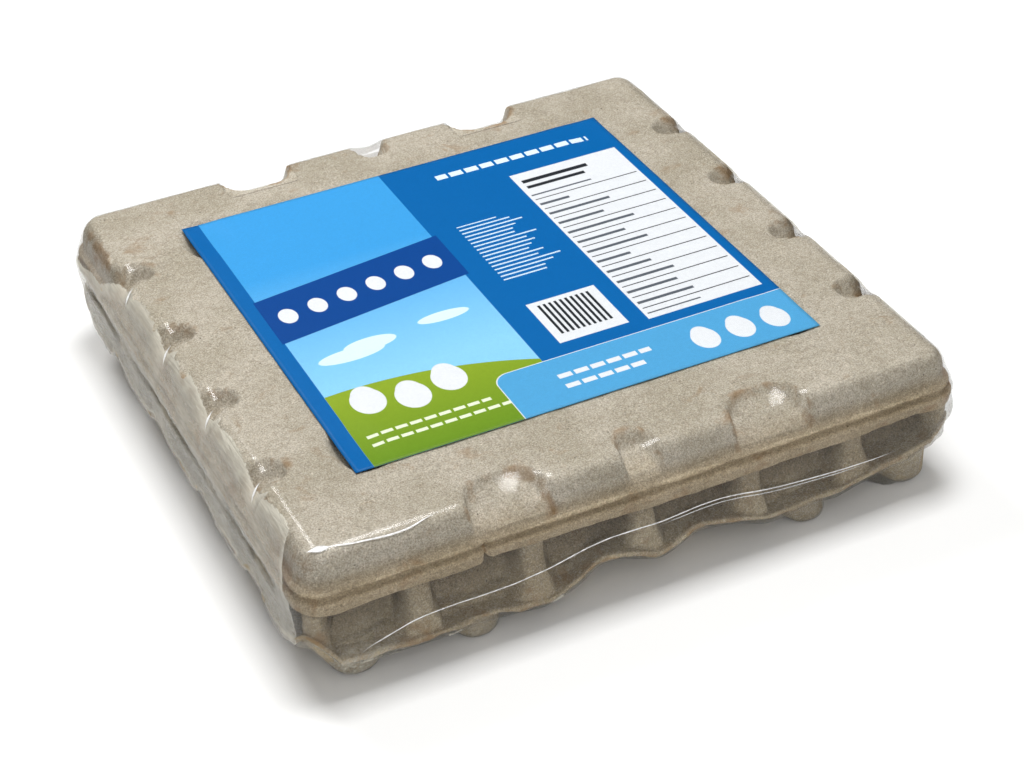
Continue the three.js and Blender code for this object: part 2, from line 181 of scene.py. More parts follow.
def meshFrom(name, vertices, quads, triangles):
    # Vertices in metres, then all quads, then all triangles
    mesh = bpy.data.meshes.new(name)
    mesh.vertices.add(len(vertices))
    mesh.vertices.foreach_set("co", vertices.astype(np.float32).ravel())
    loops = np.concatenate([quads.ravel(), triangles.ravel()])
    mesh.loops.add(len(loops))
    mesh.loops.foreach_set("vertex_index", loops.astype(np.int32))
    sizes = np.concatenate([np.full(len(quads), 4), np.full(len(triangles), 3)])
    mesh.polygons.add(len(sizes))
    mesh.polygons.foreach_set("loop_start", np.concatenate([[0], np.cumsum(sizes)[:-1]]).astype(np.int32))
    mesh.polygons.foreach_set("use_smooth", np.ones(len(sizes), bool))
    mesh.update(calc_edges=True)
    return mesh


def addPiece(name, mesh, material, node=None):
    # The mesh as an object at the origin that rides on the pack, and replaces a node if given
    piece = bpy.data.objects.new(name, mesh)
    bpy.context.collection.objects.link(piece)
    mesh.materials.append(material)
    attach(piece, "root")
    if node:
        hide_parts(node)
    print("made", name, len(mesh.polygons), "faces")
    return piece


def linear(hexColour):
    # sRGB hex to linear: c / 12.92 when dark, otherwise ((c + 0.055) / 1.055) ^ 2.4
    c = np.array([int(hexColour[k:k + 2], 16) / 255 for k in (1, 3, 5)])
    c = np.where(c <= 0.04045, c / 12.92, ((c + 0.055) / 1.055) ** 2.4)
    return (*c.tolist(), 1.0)


def addNode(tree, kind, settings=None, inputs=None):
    # One shader node, its settings, and its inputs: a socket is linked, anything else is a value
    node = tree.nodes.new(kind)
    for key, value in (settings or {}).items():
        setattr(node, key, value)
    for key, value in (inputs or {}).items():
        if isinstance(value, bpy.types.NodeSocket):
            tree.links.new(value, node.inputs[key])
        else:
            node.inputs[key].default_value = value
    return node


def newMaterial(name):
    # A material with no nodes yet, and its node tree
    material = bpy.data.materials.new(name)
    material.use_nodes = True
    material.node_tree.nodes.clear()
    return material, material.node_tree


# The height of the lid's surface is used by the lid, the label and the film

def scoopShares(x, y):
    # For every scoop its share of depth, 1 on its floor and 0 outside its rounded edge, by the
    # distance cbrt(side^3 + inward^3), and how far in from the rim the point lies
    insetX, insetY = lidBox["length"] / 2 - np.abs(x), lidBox["depth"] / 2 - np.abs(y)
    rows = [(x, insetY, at, half) for at, half in scoopsX] + [(y, insetX, at, half) for at, half in scoopsY]
    shares = []
    for along, inset, at, half in rows:
        side = np.abs(along - at) / half
        inward = np.clip(inset / scoop["reach"], 0.0, 2.0)
        shares.append((np.cbrt(side ** 3 + inward ** 3), inset))
    return shares


pits = {"x": 97.0, "y": 88.0, "shiftY": 5.0, "halfX": 13.0, "halfY": 19.0, "depth": 5.0}


def pitDepth(x, y, edge=0.62):
    # Four oval pits in the flat top, full depth inside the edge share of their size
    px = (np.abs(x) - pits["x"]) / pits["halfX"]
    py = (np.abs(y - pits["shiftY"]) - pits["y"]) / pits["halfY"]
    return pits["depth"] * (1 - smooth(np.sqrt(px ** 2 + py ** 2), edge, 1.04))


def scoopedHeight(x, y, plain, edge):
    # The plain height, sunk in every scoop to a floor that rises inwards in a straight line, a
    # little less steeply in the narrow scoops
    height = plain
    for (distance, inset), (_, half) in zip(scoopShares(x, y), scoopsX + scoopsY):
        slope = scoop["floorSlope"] if half > 10 else scoop["narrowSlope"]
        floor = np.minimum(plain, rim["bottom"] + scoop["floorLow"] + slope * inset)
        share = 1 - smooth(distance, edge if half > 10 else edge - 0.1, 1.0)
        height = np.minimum(height, blendTo(plain, floor, share))
    return height


def roundedEdge(clearance, count):
    # A quarter ellipse from the flat top to the wall, moved outwards by a clearance
    angle = np.linspace(0, np.pi / 2, count)
    across = rim["edgeStart"] - rim["wallInset"] + clearance
    down = rim["edgeDrop"] + clearance
    return rim["edgeStart"] - across * np.sin(angle), rim["top"] - rim["edgeDrop"] + down * np.cos(angle)


def throughPoints(points, spacing):
    # Points along a broken line through (inset, height) pairs, spaced evenly along its length,
    # with its corners softened by averaging neighbours
    points = np.array(points, float)
    length = np.concatenate([[0], np.cumsum(np.linalg.norm(np.diff(points, axis=0), axis=1))])
    at = np.linspace(0, length[-1], round(length[-1] / spacing) + 1)
    line = np.stack([np.interp(at, length, points[:, k]) for k in (0, 1)], axis=-1)
    for _ in range(2):
        line[1:-1] = (line[:-2] + 2 * line[1:-1] + line[2:]) / 4
    return line[:, 0], line[:, 1]


# Floor, light and camera
studio = {
    "floor": "#F7F7F6",
    "floorHeight": -0.0004,
    "skyDim": 0.02,             # behind the pack, where the label mirrors it
    "skyFront": 0.3,
    "skyOverhead": 0.42,
    "skyBelow": 0.9,
    # place, what it points at, length of its sides in metres, watts
    "softboxes": {
        "overhead": ((0.08, -0.04, 1.4), (0.0, 0.0, 0.03), 0.5, 13.4),
        "back": ((-0.3, 0.75, 1.05), (0.0, 0.05, 0.05), 0.4, 6.8),
        "frontLeft": ((-0.38, -1.15, 0.9), (0.0, 0.0, 0.03), 0.8, 4.5),
    },
    "cameraPlace": (-0.34130, -0.77076, 0.61542),
    "cameraRight": (0.89888, -0.43668, -0.03619),
    "cameraUp": (0.28103, 0.51116, 0.81230),
    "cameraBack": (-0.33622, -0.74033, 0.58220),
    "lens": 80.16,
}


def makeStudio():
    # A flat grid as the floor, a sky graded by direction, square softboxes whose own Z axis
    # points away from what they light, and the camera by its three axes and its place
    material, tree = newMaterial("matt white sweep")
    grain = addNode(tree, "ShaderNodeTexNoise", inputs={"Scale": 40.0, "Detail": 3.0})
    tone = addNode(tree, "ShaderNodeMapRange", inputs={0: grain.outputs[0], 3: 0.97, 4: 1.0})
    colour = addNode(tree, "ShaderNodeMix", {"data_type": "RGBA", "blend_type": "MULTIPLY"},
                     {0: 1.0, 6: linear(studio["floor"]), 7: tone.outputs[0]})
    shader = addNode(tree, "ShaderNodeBsdfPrincipled",
                     inputs={"Base Color": colour.outputs[2], "Roughness": 0.9, "Specular IOR Level": 0.2})
    addNode(tree, "ShaderNodeOutputMaterial", inputs={0: shader.outputs[0]})
    steps = np.linspace(-3.0, 3.0, 13)
    x, y = np.meshgrid(steps, steps)
    vertices = np.stack([x, y, np.full_like(x, studio["floorHeight"])], axis=-1).reshape(-1, 3)
    i, j = np.meshgrid(np.arange(12), np.arange(12), indexing="ij")
    first = i * 13 + j
    quads = np.stack([first, first + 1, first + 14, first + 13], axis=-1).reshape(-1, 4)
    mesh = meshFrom("studioFloor", vertices, quads, np.zeros((0, 3), int))
    mesh.materials.append(material)
    floor = bpy.data.objects.new("studioFloor", mesh)
    bpy.context.collection.objects.link(floor)

    # the sky is bright overhead, softer in front and dim behind, by the z and y of its direction
    world = bpy.data.worlds.new("soft studio")
    world.use_nodes = True
    sky = world.node_tree
    sky.nodes.clear()
    way = addNode(sky, "ShaderNodeTexCoord")
    part = addNode(sky, "ShaderNodeSeparateXYZ", inputs={0: way.outputs["Generated"]})
    over = addNode(sky, "ShaderNodeMapRange", {"interpolation_type": "SMOOTHSTEP"},
                   {0: part.outputs[2], 1: 0.62, 2: 0.95, 4: studio["skyOverhead"]})
    front = addNode(sky, "ShaderNodeMapRange", {"interpolation_type": "SMOOTHSTEP"},
                    {0: part.outputs[1], 1: 0.25, 2: -0.5, 3: studio["skyDim"], 4: studio["skyFront"]})
    below = addNode(sky, "ShaderNodeMapRange",
                    inputs={0: part.outputs[2], 1: 0.0, 2: -0.04, 4: studio["skyBelow"]})
    upper = addNode(sky, "ShaderNodeMath", {"operation": "ADD"}, {0: over.outputs[0], 1: front.outputs[0]})
    strength = addNode(sky, "ShaderNodeMath", {"operation": "ADD"},
                       {0: upper.outputs[0], 1: below.outputs[0]})
    glow = addNode(sky, "ShaderNodeBackground", inputs={0: linear("#FFFFFF"), 1: strength.outputs[0]})
    addNode(sky, "ShaderNodeOutputWorld", inputs={0: glow.outputs[0]})
    bpy.context.scene.world = world

    for name, (place, target, side, watts) in studio["softboxes"].items():
        light = bpy.data.lights.new(name, "AREA")
        light.shape, light.size, light.size_y, light.energy = "RECTANGLE", side, side, watts
        lamp = bpy.data.objects.new(name, light)
        bpy.context.collection.objects.link(lamp)
        away = np.array(place) - np.array(target)
        away = away / np.linalg.norm(away)
        right = np.cross([0, 1, 0], away)
        right = right / np.linalg.norm(right)
        turned = np.column_stack([right, np.cross(away, right), away, place])
        lamp.matrix_world = Matrix([*turned.tolist(), [0, 0, 0, 1]])

    camera = bpy.data.cameras.new("camera")
    camera.lens, camera.sensor_width = studio["lens"], 36.0
    camera.clip_start, camera.clip_end = 0.01, 30.0
    viewer = bpy.data.objects.new("camera", camera)
    bpy.context.collection.objects.link(viewer)
    columns = [studio["cameraRight"], studio["cameraUp"], studio["cameraBack"], studio["cameraPlace"]]
    viewer.matrix_world = Matrix([*np.array(columns).T.tolist(), [0, 0, 0, 1]])
    bpy.context.scene.camera = viewer
    bpy.context.scene.view_settings.view_transform = "Standard"
    print("made the studio")


# Moulded pulp, of the lid and of the tray
pulpLook = {
    # the main tone, a lighter and a darker one, the tint of the low part and the heights between
    # which it comes in (on the lid a painted warmer light), and high, a painted shade high up between the
    # posts
    "lid": {"base": "#A9A190", "light": "#B8B0A1", "dark": "#857964", "low": "#EFE3CF", "lowFrom": 62.0,
            "lowTo": 53.0, "high": "#FFFFFF"},
    "tray": {"base": "#A29378", "light": "#B2A58B", "dark": "#74664F", "low": "#F2F4FA", "lowFrom": 15.0,
             "lowTo": 9.0, "high": "#7A6D5C"},
    # brown of the stains, also used for painted shade where the mesh marks it on the lid
    "stain": "#8C6B42",
    "fleck": "#40352A",
    "fibreLight": "#DDD7CB",
    "cloud": 30.0,          # mm across a lighter or darker area
    "mottle": 2.6,          # mm across a felted clump
    "fibre": 1.5,           # mm between fibres; real ones are under 0.1 mm wide, drawn coarser to show
    "grain": 0.7,           # mm between grains of the surface
    "contrast": 0.28,       # how much lighter and darker the grains are than the rest
    "fleckSpacing": 3.2,
    "stainSize": 13.0,
    "shadeFrom": 20.0,       # height at which the painted shade between the posts starts
    "shadeTo": 38.0,         # and is full
}


def mouldedPulp(name, colours):
    # Recycled paper pulp, sucked onto a mesh mould and oven dried: dead matt, felted, with
    # short pale fibres, dark flecks of old print and a few brown stains where it is worn
    material, tree = newMaterial(name)
    place = addNode(tree, "ShaderNodeTexCoord")
    mm = addNode(tree, "ShaderNodeVectorMath", {"operation": "SCALE"},
                 {0: place.outputs["Object"], 3: 1000.0})
    vector = mm.outputs[0]
    cloud = addNode(tree, "ShaderNodeTexNoise",
                    inputs={"Vector": vector, "Scale": 1 / pulpLook["cloud"], "Detail": 4.0})
    mottle = addNode(tree, "ShaderNodeTexNoise",
                     inputs={"Vector": vector, "Scale": 1 / pulpLook["mottle"], "Detail": 4.0,
                             "Roughness": 0.65})
    fibre = addNode(tree, "ShaderNodeTexNoise",
                    inputs={"Vector": vector, "Scale": 1 / pulpLook["fibre"], "Detail": 2.0,
                            "Distortion": 1.2})
    grain = addNode(tree, "ShaderNodeTexNoise",
                    inputs={"Vector": vector, "Scale": 1 / pulpLook["grain"], "Detail": 1.0,
                            "Roughness": 0.7})
    stain = addNode(tree, "ShaderNodeTexNoise",
                    inputs={"Vector": vector, "Scale": 1 / pulpLook["stainSize"], "Detail": 5.0,
                            "Roughness": 0.62, "Distortion": 0.5})
    fleck = addNode(tree, "ShaderNodeTexVoronoi",
                    inputs={"Vector": vector, "Scale": 1 / pulpLook["fleckSpacing"]})
    # broad tone from base to light, then darker clumps
    ramp = addNode(tree, "ShaderNodeMapRange", inputs={0: cloud.outputs[0], 1: 0.4, 2: 0.62})
    broad = addNode(tree, "ShaderNodeMix", {"data_type": "RGBA"},
                    {0: ramp.outputs[0], 6: linear(colours["base"]), 7: linear(colours["light"])})
    clumps = addNode(tree, "ShaderNodeMapRange", inputs={0: mottle.outputs[0], 1: 0.58, 2: 0.32, 4: 0.42})
    mottled = addNode(tree, "ShaderNodeMix", {"data_type": "RGBA"},
                      {0: clumps.outputs[0], 6: broad.outputs[2], 7: linear(colours["dark"])})
    # fibres are the thin contour lines of a noise field
    offset = addNode(tree, "ShaderNodeMath", {"operation": "SUBTRACT"}, {0: fibre.outputs[0], 1: 0.5})
    ridge = addNode(tree, "ShaderNodeMath", {"operation": "ABSOLUTE"}, {0: offset.outputs[0]})
    thread = addNode(tree, "ShaderNodeMapRange", inputs={0: ridge.outputs[0], 1: 0.035, 2: 0.0, 4: 0.5})
    felted = addNode(tree, "ShaderNodeMix", {"data_type": "RGBA"},
                     {0: thread.outputs[0], 6: mottled.outputs[2], 7: linear(pulpLook["fibreLight"])})
    speck = addNode(tree, "ShaderNodeMapRange", {"clamp": False},
                    {0: grain.outputs[0], 1: 0.3, 2: 0.7, 3: 1 - pulpLook["contrast"],
                     4: 1 + pulpLook["contrast"]})
    grained = addNode(tree, "ShaderNodeVectorMath", {"operation": "SCALE"},
                      {0: felted.outputs[2], 3: speck.outputs[0]})
    # a fleck sits in about one cell in six, of its own size
    parts = addNode(tree, "ShaderNodeSeparateColor", inputs={0: fleck.outputs["Color"]})
    size = addNode(tree, "ShaderNodeMapRange", inputs={0: parts.outputs[0], 1: 0.83, 2: 1.0, 3: 0.0, 4: 0.17})
    gap = addNode(tree, "ShaderNodeMath", {"operation": "SUBTRACT"},
                  {0: size.outputs[0], 1: fleck.outputs["Distance"]})
    mark = addNode(tree, "ShaderNodeMapRange", inputs={0: gap.outputs[0], 1: 0.0, 2: 0.05, 4: 0.75})
    flecked = addNode(tree, "ShaderNodeMix", {"data_type": "RGBA"},
                      {0: mark.outputs[0], 6: grained.outputs[0], 7: linear(pulpLook["fleck"])})
    # brown stains, at random and where the mesh says the pulp is worn; the same brown is painted shade where
    # the mesh marks shade on the lid
    wearAndShade = addNode(tree, "ShaderNodeAttribute", {"attribute_name": "wearAndShade"})
    stainAndShade = addNode(tree, "ShaderNodeMath", {"operation": "MULTIPLY_ADD"},
                   {0: wearAndShade.outputs["Fac"], 1: 0.17, 2: stain.outputs[0]})
    tan = addNode(tree, "ShaderNodeMapRange", inputs={0: stainAndShade.outputs[0], 1: 0.60, 2: 0.78, 4: 0.62})
    stainedAndShaded = addNode(tree, "ShaderNodeMix", {"data_type": "RGBA"},
                      {0: tan.outputs[0], 6: flecked.outputs[2], 7: linear(pulpLook["stain"])})
    # the low part takes another tint: on the lid a warm one, a painted warmer light on the lower wall and
    # rim; on the tray a greyer one
    axes = addNode(tree, "ShaderNodeSeparateXYZ", inputs={0: vector})
    lower = addNode(tree, "ShaderNodeMapRange",
                    inputs={0: axes.outputs[2], 1: colours["lowFrom"], 2: colours["lowTo"]})
    tinted = addNode(tree, "ShaderNodeMix", {"data_type": "RGBA", "blend_type": "MULTIPLY"},
                     {0: lower.outputs[0], 6: stainedAndShaded.outputs[2], 7: linear(colours["low"])})
    # painted shade: what lies high up between the posts, under the lid's rim, is darkened by the high tint,
    # as much as the mesh's own value there says
    shadeShare = addNode(tree, "ShaderNodeAttribute", {"attribute_name": "shadeShare"})
    upper = addNode(tree, "ShaderNodeMapRange",
                    inputs={0: axes.outputs[2], 1: pulpLook["shadeFrom"], 2: pulpLook["shadeTo"],
                            4: shadeShare.outputs["Fac"]})
    shaded = addNode(tree, "ShaderNodeMix", {"data_type": "RGBA", "blend_type": "MULTIPLY"},
                     {0: upper.outputs[0], 6: tinted.outputs[2], 7: linear(colours["high"])})
    # relief in mm: clumps up to 0.45, grain up to 0.34 and fibres up to 0.04
    low = addNode(tree, "ShaderNodeMath", {"operation": "MULTIPLY"}, {0: mottle.outputs[0], 1: 0.45})
    fine = addNode(tree, "ShaderNodeMath", {"operation": "MULTIPLY_ADD"},
                   {0: grain.outputs[0], 1: 0.34, 2: low.outputs[0]})
    relief = addNode(tree, "ShaderNodeMath", {"operation": "MULTIPLY_ADD"},
                     {0: thread.outputs[0], 1: 0.08, 2: fine.outputs[0]})
    bump = addNode(tree, "ShaderNodeBump",
                   inputs={"Height": relief.outputs[0], "Distance": 0.001, "Strength": 0.9})
    shader = addNode(tree, "ShaderNodeBsdfPrincipled", inputs={
        "Base Color": shaded.outputs[2], "Roughness": 0.92, "Specular IOR Level": 0.2,
        "Normal": bump.outputs[0]})
    addNode(tree, "ShaderNodeOutputMaterial", inputs={0: shader.outputs[0]})
    return material


# Lid
lidShape = {
    "stationSpacing": 1.4,      # mm from one place round the rim to the next
    "cornerSteps": 10,
    "scoopEdge": 0.93,          # where a scoop's edge starts to round up, as a share of its size
    # inset and height over the lower edge: shoulder, groove, bead, lower edge, hollow
    "rimProfile": [(3.6, 10.5), (1.8, 9.6), (1.1, 8.7), (1.3, 7.9), (2.9, 7.0), (2.9, 6.4), (0.9, 5.5),
                   (0.05, 4.7), (0.0, 3.5), (0.7, 2.5), (0.4, 1.4), (0.9, 0.2), (2.0, -0.1), (4.3, 0.3),
                   (4.9, 2.0), (4.9, 8.0)],
    "waveAt": [-150, -138, -109, -82, -74, -71, -65, -23, 3, 32, 62, 89, 126, 138, 150],
    "wave": [-1.2, -1.0, -0.5, -1.2, -0.6, 0.9, 1.0, 0.0, -1.2, -1.5, -0.9, -1.4, 0.2, -1.5, -1.2],
    "nick": -72.0,              # where along the front the rim was pinched
}


def makeLid(material):
    # Rings from the middle of the top out over the rounded edge, down the wall and the rim and
    # in under it; down to the rim their height is sunk by the scoops and the pits
    stations = stationsRound(lidBox, lidShape["stationSpacing"], lidShape["cornerSteps"])
    topInsets = np.concatenate([np.linspace(145, 80, 9), np.arange(77, 30, -2.0), np.arange(30, 13, -0.9)])
    edgeInset, edgeHeight = roundedEdge(0.0, 14)
    wallInset, wallHeight = throughPoints([(rim["wallInset"], rim["top"] - rim["edgeDrop"]),
                                           (4.0, rim["bottom"] + 12.0), (3.6, rim["bottom"] + 10.5)], 0.8)
    profile = np.array(lidShape["rimProfile"])
    lowInset, lowHeight = throughPoints(np.column_stack([profile[:, 0], profile[:, 1] + rim["bottom"]]), 0.55)
    insets = np.concatenate([topInsets, edgeInset, wallInset[1:], lowInset[1:], [60, 140]])
    heights = np.concatenate([np.full(len(topInsets), rim["top"]), edgeHeight, wallHeight[1:], lowHeight[1:],
                              [lowHeight[-1]] * 2])
    x, y = outlineAt(stations, lidBox, insets)
    plain = np.broadcast_to(heights[:, None], x.shape)
    onTop = (np.arange(len(insets)) < len(topInsets) + len(edgeInset) + len(wallInset) - 2)[:, None]
    z = np.where(onTop, scoopedHeight(x, y, plain, lidShape["scoopEdge"]) - pitDepth(x, y), plain)
    points = np.stack([x, y, z], axis=-1)
    # the rim's lower edge waves by a millimetre, as given on the front and by chance elsewhere
    low = 1 - smooth(z, rim["bottom"], rim["bottom"] + 9)
    given = np.interp(x, lidShape["waveAt"], lidShape["wave"])
    flat = np.stack([x, y, 0 * x], axis=-1)
    chance = lumps(flat, 34.0, 0.5) * 1.1 - 0.4
    front = smooth(-y, 120.0, 140.0)
    outer = (np.arange(len(insets)) < len(insets) - 2)[:, None]
    points[..., 2] += np.where(outer, low * blendTo(chance, given, front), 0)
    # the groove and the bead are pressed in more in some places than in others
    band = bell(z, rim["bottom"] + 6.4, 1.6) * 0.6 * lumps(flat, 26.0, 8.3)
    normals = normalsOf(points)
    # felted lumps along the normal, none upwards under the label
    rough = 0.24 * lumps(points, 11.0) + 0.13 * lumps(points, 4.0, 3.7) + band
    sunk = np.where(points[..., 2] > rim["top"] - 0.4, 0.3, 0.0)
    points += normals * (rough - sunk)[..., None]
    # a crease where the rim was pinched
    pinch = bell(points[..., 0], lidShape["nick"], 1.1) * front * (1 - smooth(points[..., 2], 50, 56))
    points[..., 1] += 3.2 * pinch
    points[..., 2] += 1.8 * pinch * low
    # brown along the rim's lower edge; painted shade in the pinch's crease and along the top edge on the left
    # and the right; on the edges of the scoops a brown line that is partly stain and partly painted shade
    wearAndShade = np.maximum(0.35 * low, pinch)
    wearAndShade = np.maximum(wearAndShade, smooth(np.abs(x), 137.0, 143.0) * smooth(z, 69.0, 66.0) * 0.9)
    for (distance, inset), (_, half) in zip(scoopShares(x, y), scoopsX + scoopsY):
        wearAndShade = np.maximum(wearAndShade, bell(distance, 0.98, 0.1) * (inset > 3) * (1.0 if half > 10 else 0.9))
    mesh = ringedMesh("pulpLid", points, {"wearAndShade": wearAndShade})
    return addPiece("pulpLid", mesh, material, "lid")


# Tray
trayShape = {
    "stationSpacing": 1.2,
    "cornerSteps": 14,
    "top": 52.0,
    "postHalf": 5.0,
    "creaseHalf": 9.0,
    "postLow": 0.6,
    "postHigh": 5.4,
    "cornerHigh": 1.0,
    "nicheMid": 8.0,
    "nicheCrease": 4.0,
    "nicheLean": 9.0,
    "flare": 3.0,               # how far a post's foot spreads over the flange
    "flangeThick": 2.6,
    "floor": 21.0,
    # heights of the rings under the lid's rim, then over the flange the share of the way out
    # to its edge and the height over its top
    "wallAt": [50.5, 49.0, 47.5, 46.0, 45.0, 44.4, 43.8, 43.0, 41.5],
    "ledge": [(0.2, 0.4), (0.45, 0.15), (0.7, 0.05), (0.9, 0.02)],
    # inset and height over the flange's lower edge, round its edge and in under it
    "lip": [(0.3, 2.5), (0.08, 2.1), (0.0, 1.3), (0.05, 0.6), (0.5, 0.12), (1.2, 0.0), (2.2, 0.15),
            (3.5, 0.6)],
    "under": [(6.0, 1.5), (8.0, 3.0), (10.0, 4.6)],
    "floorInsets": [12, 16, 22, 30, 40, 55, 75, 100, 125, 143],
}
footShape = {
    "pitchX": 51.3, "shiftX": 4.5, "halfSole": 9.0, "halfTopX": 18.0, "halfTopY": 21.0,
    "squareness": 0.8, "setOut": 15.5, "cornerSetOut": 12.5, "topOutX": 4.0, "topOutY": 2.0, "setBack": 5.0,
    "around": 44,
    # how far the side is tucked in over the bowl-shaped sole, by height
    "tuckAt": [0.0, 0.05, 0.3, 0.8, 1.6, 2.6, 3.8, 5.2, 7.0, 9.5],
    "tuck": [5.4, 4.4, 3.5, 2.5, 1.6, 0.95, 0.5, 0.2, 0.05, 0.0],
    # how far it has widened from the sole, by height: 1 is the size given for its top
    "widenAt": [0, 1.6, 17, 20.2, 21.5, 22.2],
    "widen": [0.0, 0.0, 0.8, 1.0, 1.15, 1.2],
    "rings": [22.2, 21.6, 21.0, 20.2, 18.8, 17.0, 14.5, 12, 9.5, 7, 5.2, 3.8, 2.6, 1.6, 0.8, 0.3, 0.05,
              0.0, 0.0],
    "flatStep": 1.6,        # how much smaller the last ring of the sole is
}


def nearestTo(value, places):
    # The smallest distance from a value to any of the places
    return np.min(np.abs(value[..., None] - places), axis=-1)


def sideFacts(stations, box):
    # For every station: is it on the front or back, the distance along the outline to the end
    # of its side, to the middle of the nearest corner, and to the middle of the nearest post
    onX = stations["side"] % 2 == 0
    turning = ~np.isnan(stations["turn"])
    turn = np.nan_to_num(stations["turn"])
    halfArc = box["corner"] * np.pi / 4
    half = np.where(onX, box["length"], box["depth"]) / 2
    end = np.where(turning, 0.0, half - box["corner"] - np.abs(stations["along"]))
    corner = np.where(turning, np.abs(2 * turn - 1) * halfArc, halfArc + end)
    gap = np.where(onX, nearestTo(stations["along"], postsX), nearestTo(stations["along"], postsY))
    return onX, end, corner, np.where(turning, corner, gap)


def frontHeight(along):
    # The given heights joined by straight lines, averaged over a short length with weights
    # 1 - t^2 so that their corners are rounded
    t = np.linspace(-1, 1, 9)
    weight = 1.05 - t ** 2
    places = np.asarray(along, float)[..., None] + t * flange["soften"]
    heights = np.interp(places, flange["at"], flange["height"])
    return heights @ weight / weight.sum()


def flangeHeight(stations, box):
    # Given along the front and the back; on the sides high under a post and lower over a cell;
    # round a corner it runs from one to the other and arches up between them
    onX, end, _, gap = sideFacts(stations, box)
    side, turn = stations["side"], np.nan_to_num(stations["turn"])
    rise = np.where(np.abs(stations["along"]) > postsY[-1], flange["sideEnd"], flange["sideCell"])
    wave = flange["sideLow"] + rise * smooth(gap, 3.0, 15.0)
    wave = blendTo(flange["sideCorner"], wave, smooth(end, 0.0, 14.0))
    fromFront = frontHeight(np.where(side < 2, 135.0, -135.0))
    arch = blendTo(fromFront, flange["sideCorner"], np.where(onX, turn, 1 - turn))
    arch = arch + flange["cornerRise"] * np.sin(np.pi * turn)
    straight = np.where(onX, frontHeight(stations["along"]), wave)
    return np.where(np.isnan(stations["turn"]), straight, arch)


def wallInset(stations, height):
    # Posts stand out and lean in towards the lid, and spread where they meet the flange; between
    # them the cell walls are set back, with a deeper crease beside each post; corner posts
    # stand nearly upright
    _, _, corner, distance = sideFacts(stations, trayBox)
    upwards = np.clip((height - 15.0) / 30.0, 0.0, 1.0)
    foot = trayShape["flare"] * (1 - smooth(height - flangeHeight(stations, trayBox), 3.0, 15.0))
    cell = smooth(distance, trayShape["postHalf"] - 1.2 + foot, trayShape["creaseHalf"] + 0.8 + foot)
    crease = 1 - smooth(distance, trayShape["creaseHalf"], pitchX / 2)
    cornerPost = (1 - smooth(corner, 6.0, 9.5)) * (1 - smooth(height, 43.2, 44.6))
    high = blendTo(trayShape["postHigh"], trayShape["cornerHigh"], cornerPost)
    post = blendTo(trayShape["postLow"], high, upwards)
    rounded = 0.9 * (np.minimum(distance, 5.0) / 5.0) ** 2
    niche = trayShape["nicheMid"] + trayShape["nicheCrease"] * crease + trayShape["nicheLean"] * upwards
    return blendTo(post + rounded, niche, cell)


def makeTray(material):
    # Rings from the top down the walls, out over the flange, round its edge and in under the
    # floor, and a closed loft for each of the thirty feet
    stations = stationsRound(trayBox, trayShape["stationSpacing"], trayShape["cornerSteps"])
    low = flangeHeight(stations, trayBox)
    count = len(low)
    ledge = low + trayShape["flangeThick"]
    rings = []
    for height in (trayShape["top"], *trayShape["wallAt"]):
        rings.append((wallInset(stations, height), np.full(count, height)))
    # the wall from there down to the flange, in even steps at every station
    for share in np.linspace(0, 1, 18)[1:]:
        height = trayShape["wallAt"][-1] + (ledge + 0.8 - trayShape["wallAt"][-1]) * share
        rings.append((wallInset(stations, height), height))
    foot = rings[-1][0]
    for share, lift in trayShape["ledge"]:
        rings.append((foot + (0.3 - foot) * share, ledge + lift))
    for inset, lift in trayShape["lip"]:
        rings.append((np.full(count, inset), low + lift))
    for inset, lift in trayShape["under"]:
        rings.append((np.full(count, inset), np.minimum(low + lift, trayShape["floor"])))
    for inset in trayShape["floorInsets"]:
        rings.append((np.full(count, float(inset)), np.full(count, trayShape["floor"])))
    insets = np.stack([r[0] for r in rings])
    z = np.stack([r[1] for r in rings])
    x, y = outlineAt(stations, trayBox, insets)
    points = np.stack([x, y, z], axis=-1)
    normals = normalsOf(points)
    points += normals * (0.42 * lumps(points, 9.0, 1.3) + 0.2 * lumps(points, 3.4, 7.1))[..., None]
    # the flange's edge is uneven, and thick and thin by turns
    edge = bell(insets, 0.6, 1.6)
    points[..., 2] += edge * (0.7 * lumps(points, 8.0, 4.4) + 0.35 * lumps(points, 2.6, 2.9))
    height = points[..., 2] - low
    # on the tray this brown is wear only: the flange's edge and low down
    wearAndShade = 0.6 * bell(height, 0.6, 1.6) * (insets < 4) + 0.35 * smooth(height, 14.0, 4.0) * (insets < 9)
    skirt = ringedMesh("pulpTray", points)
    feet = np.stack([footPoints(cx, cy) for cx in cellsX for cy in cellsY])
    # the weight of the painted shade between the posts: 0.2 near the flange's edge, 0.95 from 12 mm in
    return joinFeet(skirt, wearAndShade, blendTo(0.2, 0.95, smooth(insets, 6.0, 12.0)), feet, material)


def meshArray(mesh):
    # The places of a mesh's vertices, one row each
    data = np.empty(len(mesh.vertices) * 3, np.float32)
    mesh.vertices.foreach_get("co", data)
    return data.reshape(-1, 3)


def footPlace(cx, cy, widen):
    # Middle of a foot at its cell, with widen from 0 at the sole to 1 at the tray's floor
    edgeX = np.sign(cx) if abs(cx) >= cellsX[-1] else 0.0
    edgeY = np.sign(cy) if abs(cy) >= cellsY[-1] else 0.0
    share = np.minimum(widen, 1.0)
    atSole = cx * (footShape["pitchX"] / pitchX - 1) + footShape["shiftX"]
    moveX = blendTo(atSole, edgeX * footShape["topOutX"], share)
    setOut = footShape["cornerSetOut"] if edgeX else footShape["setOut"]
    moveY = edgeY * blendTo(setOut, footShape["topOutY"], share)
    if edgeY and abs(cx) < pitchX:
        moveY = -edgeY * footShape["setBack"] + 0 * share
    return cx + moveX, cy + moveY


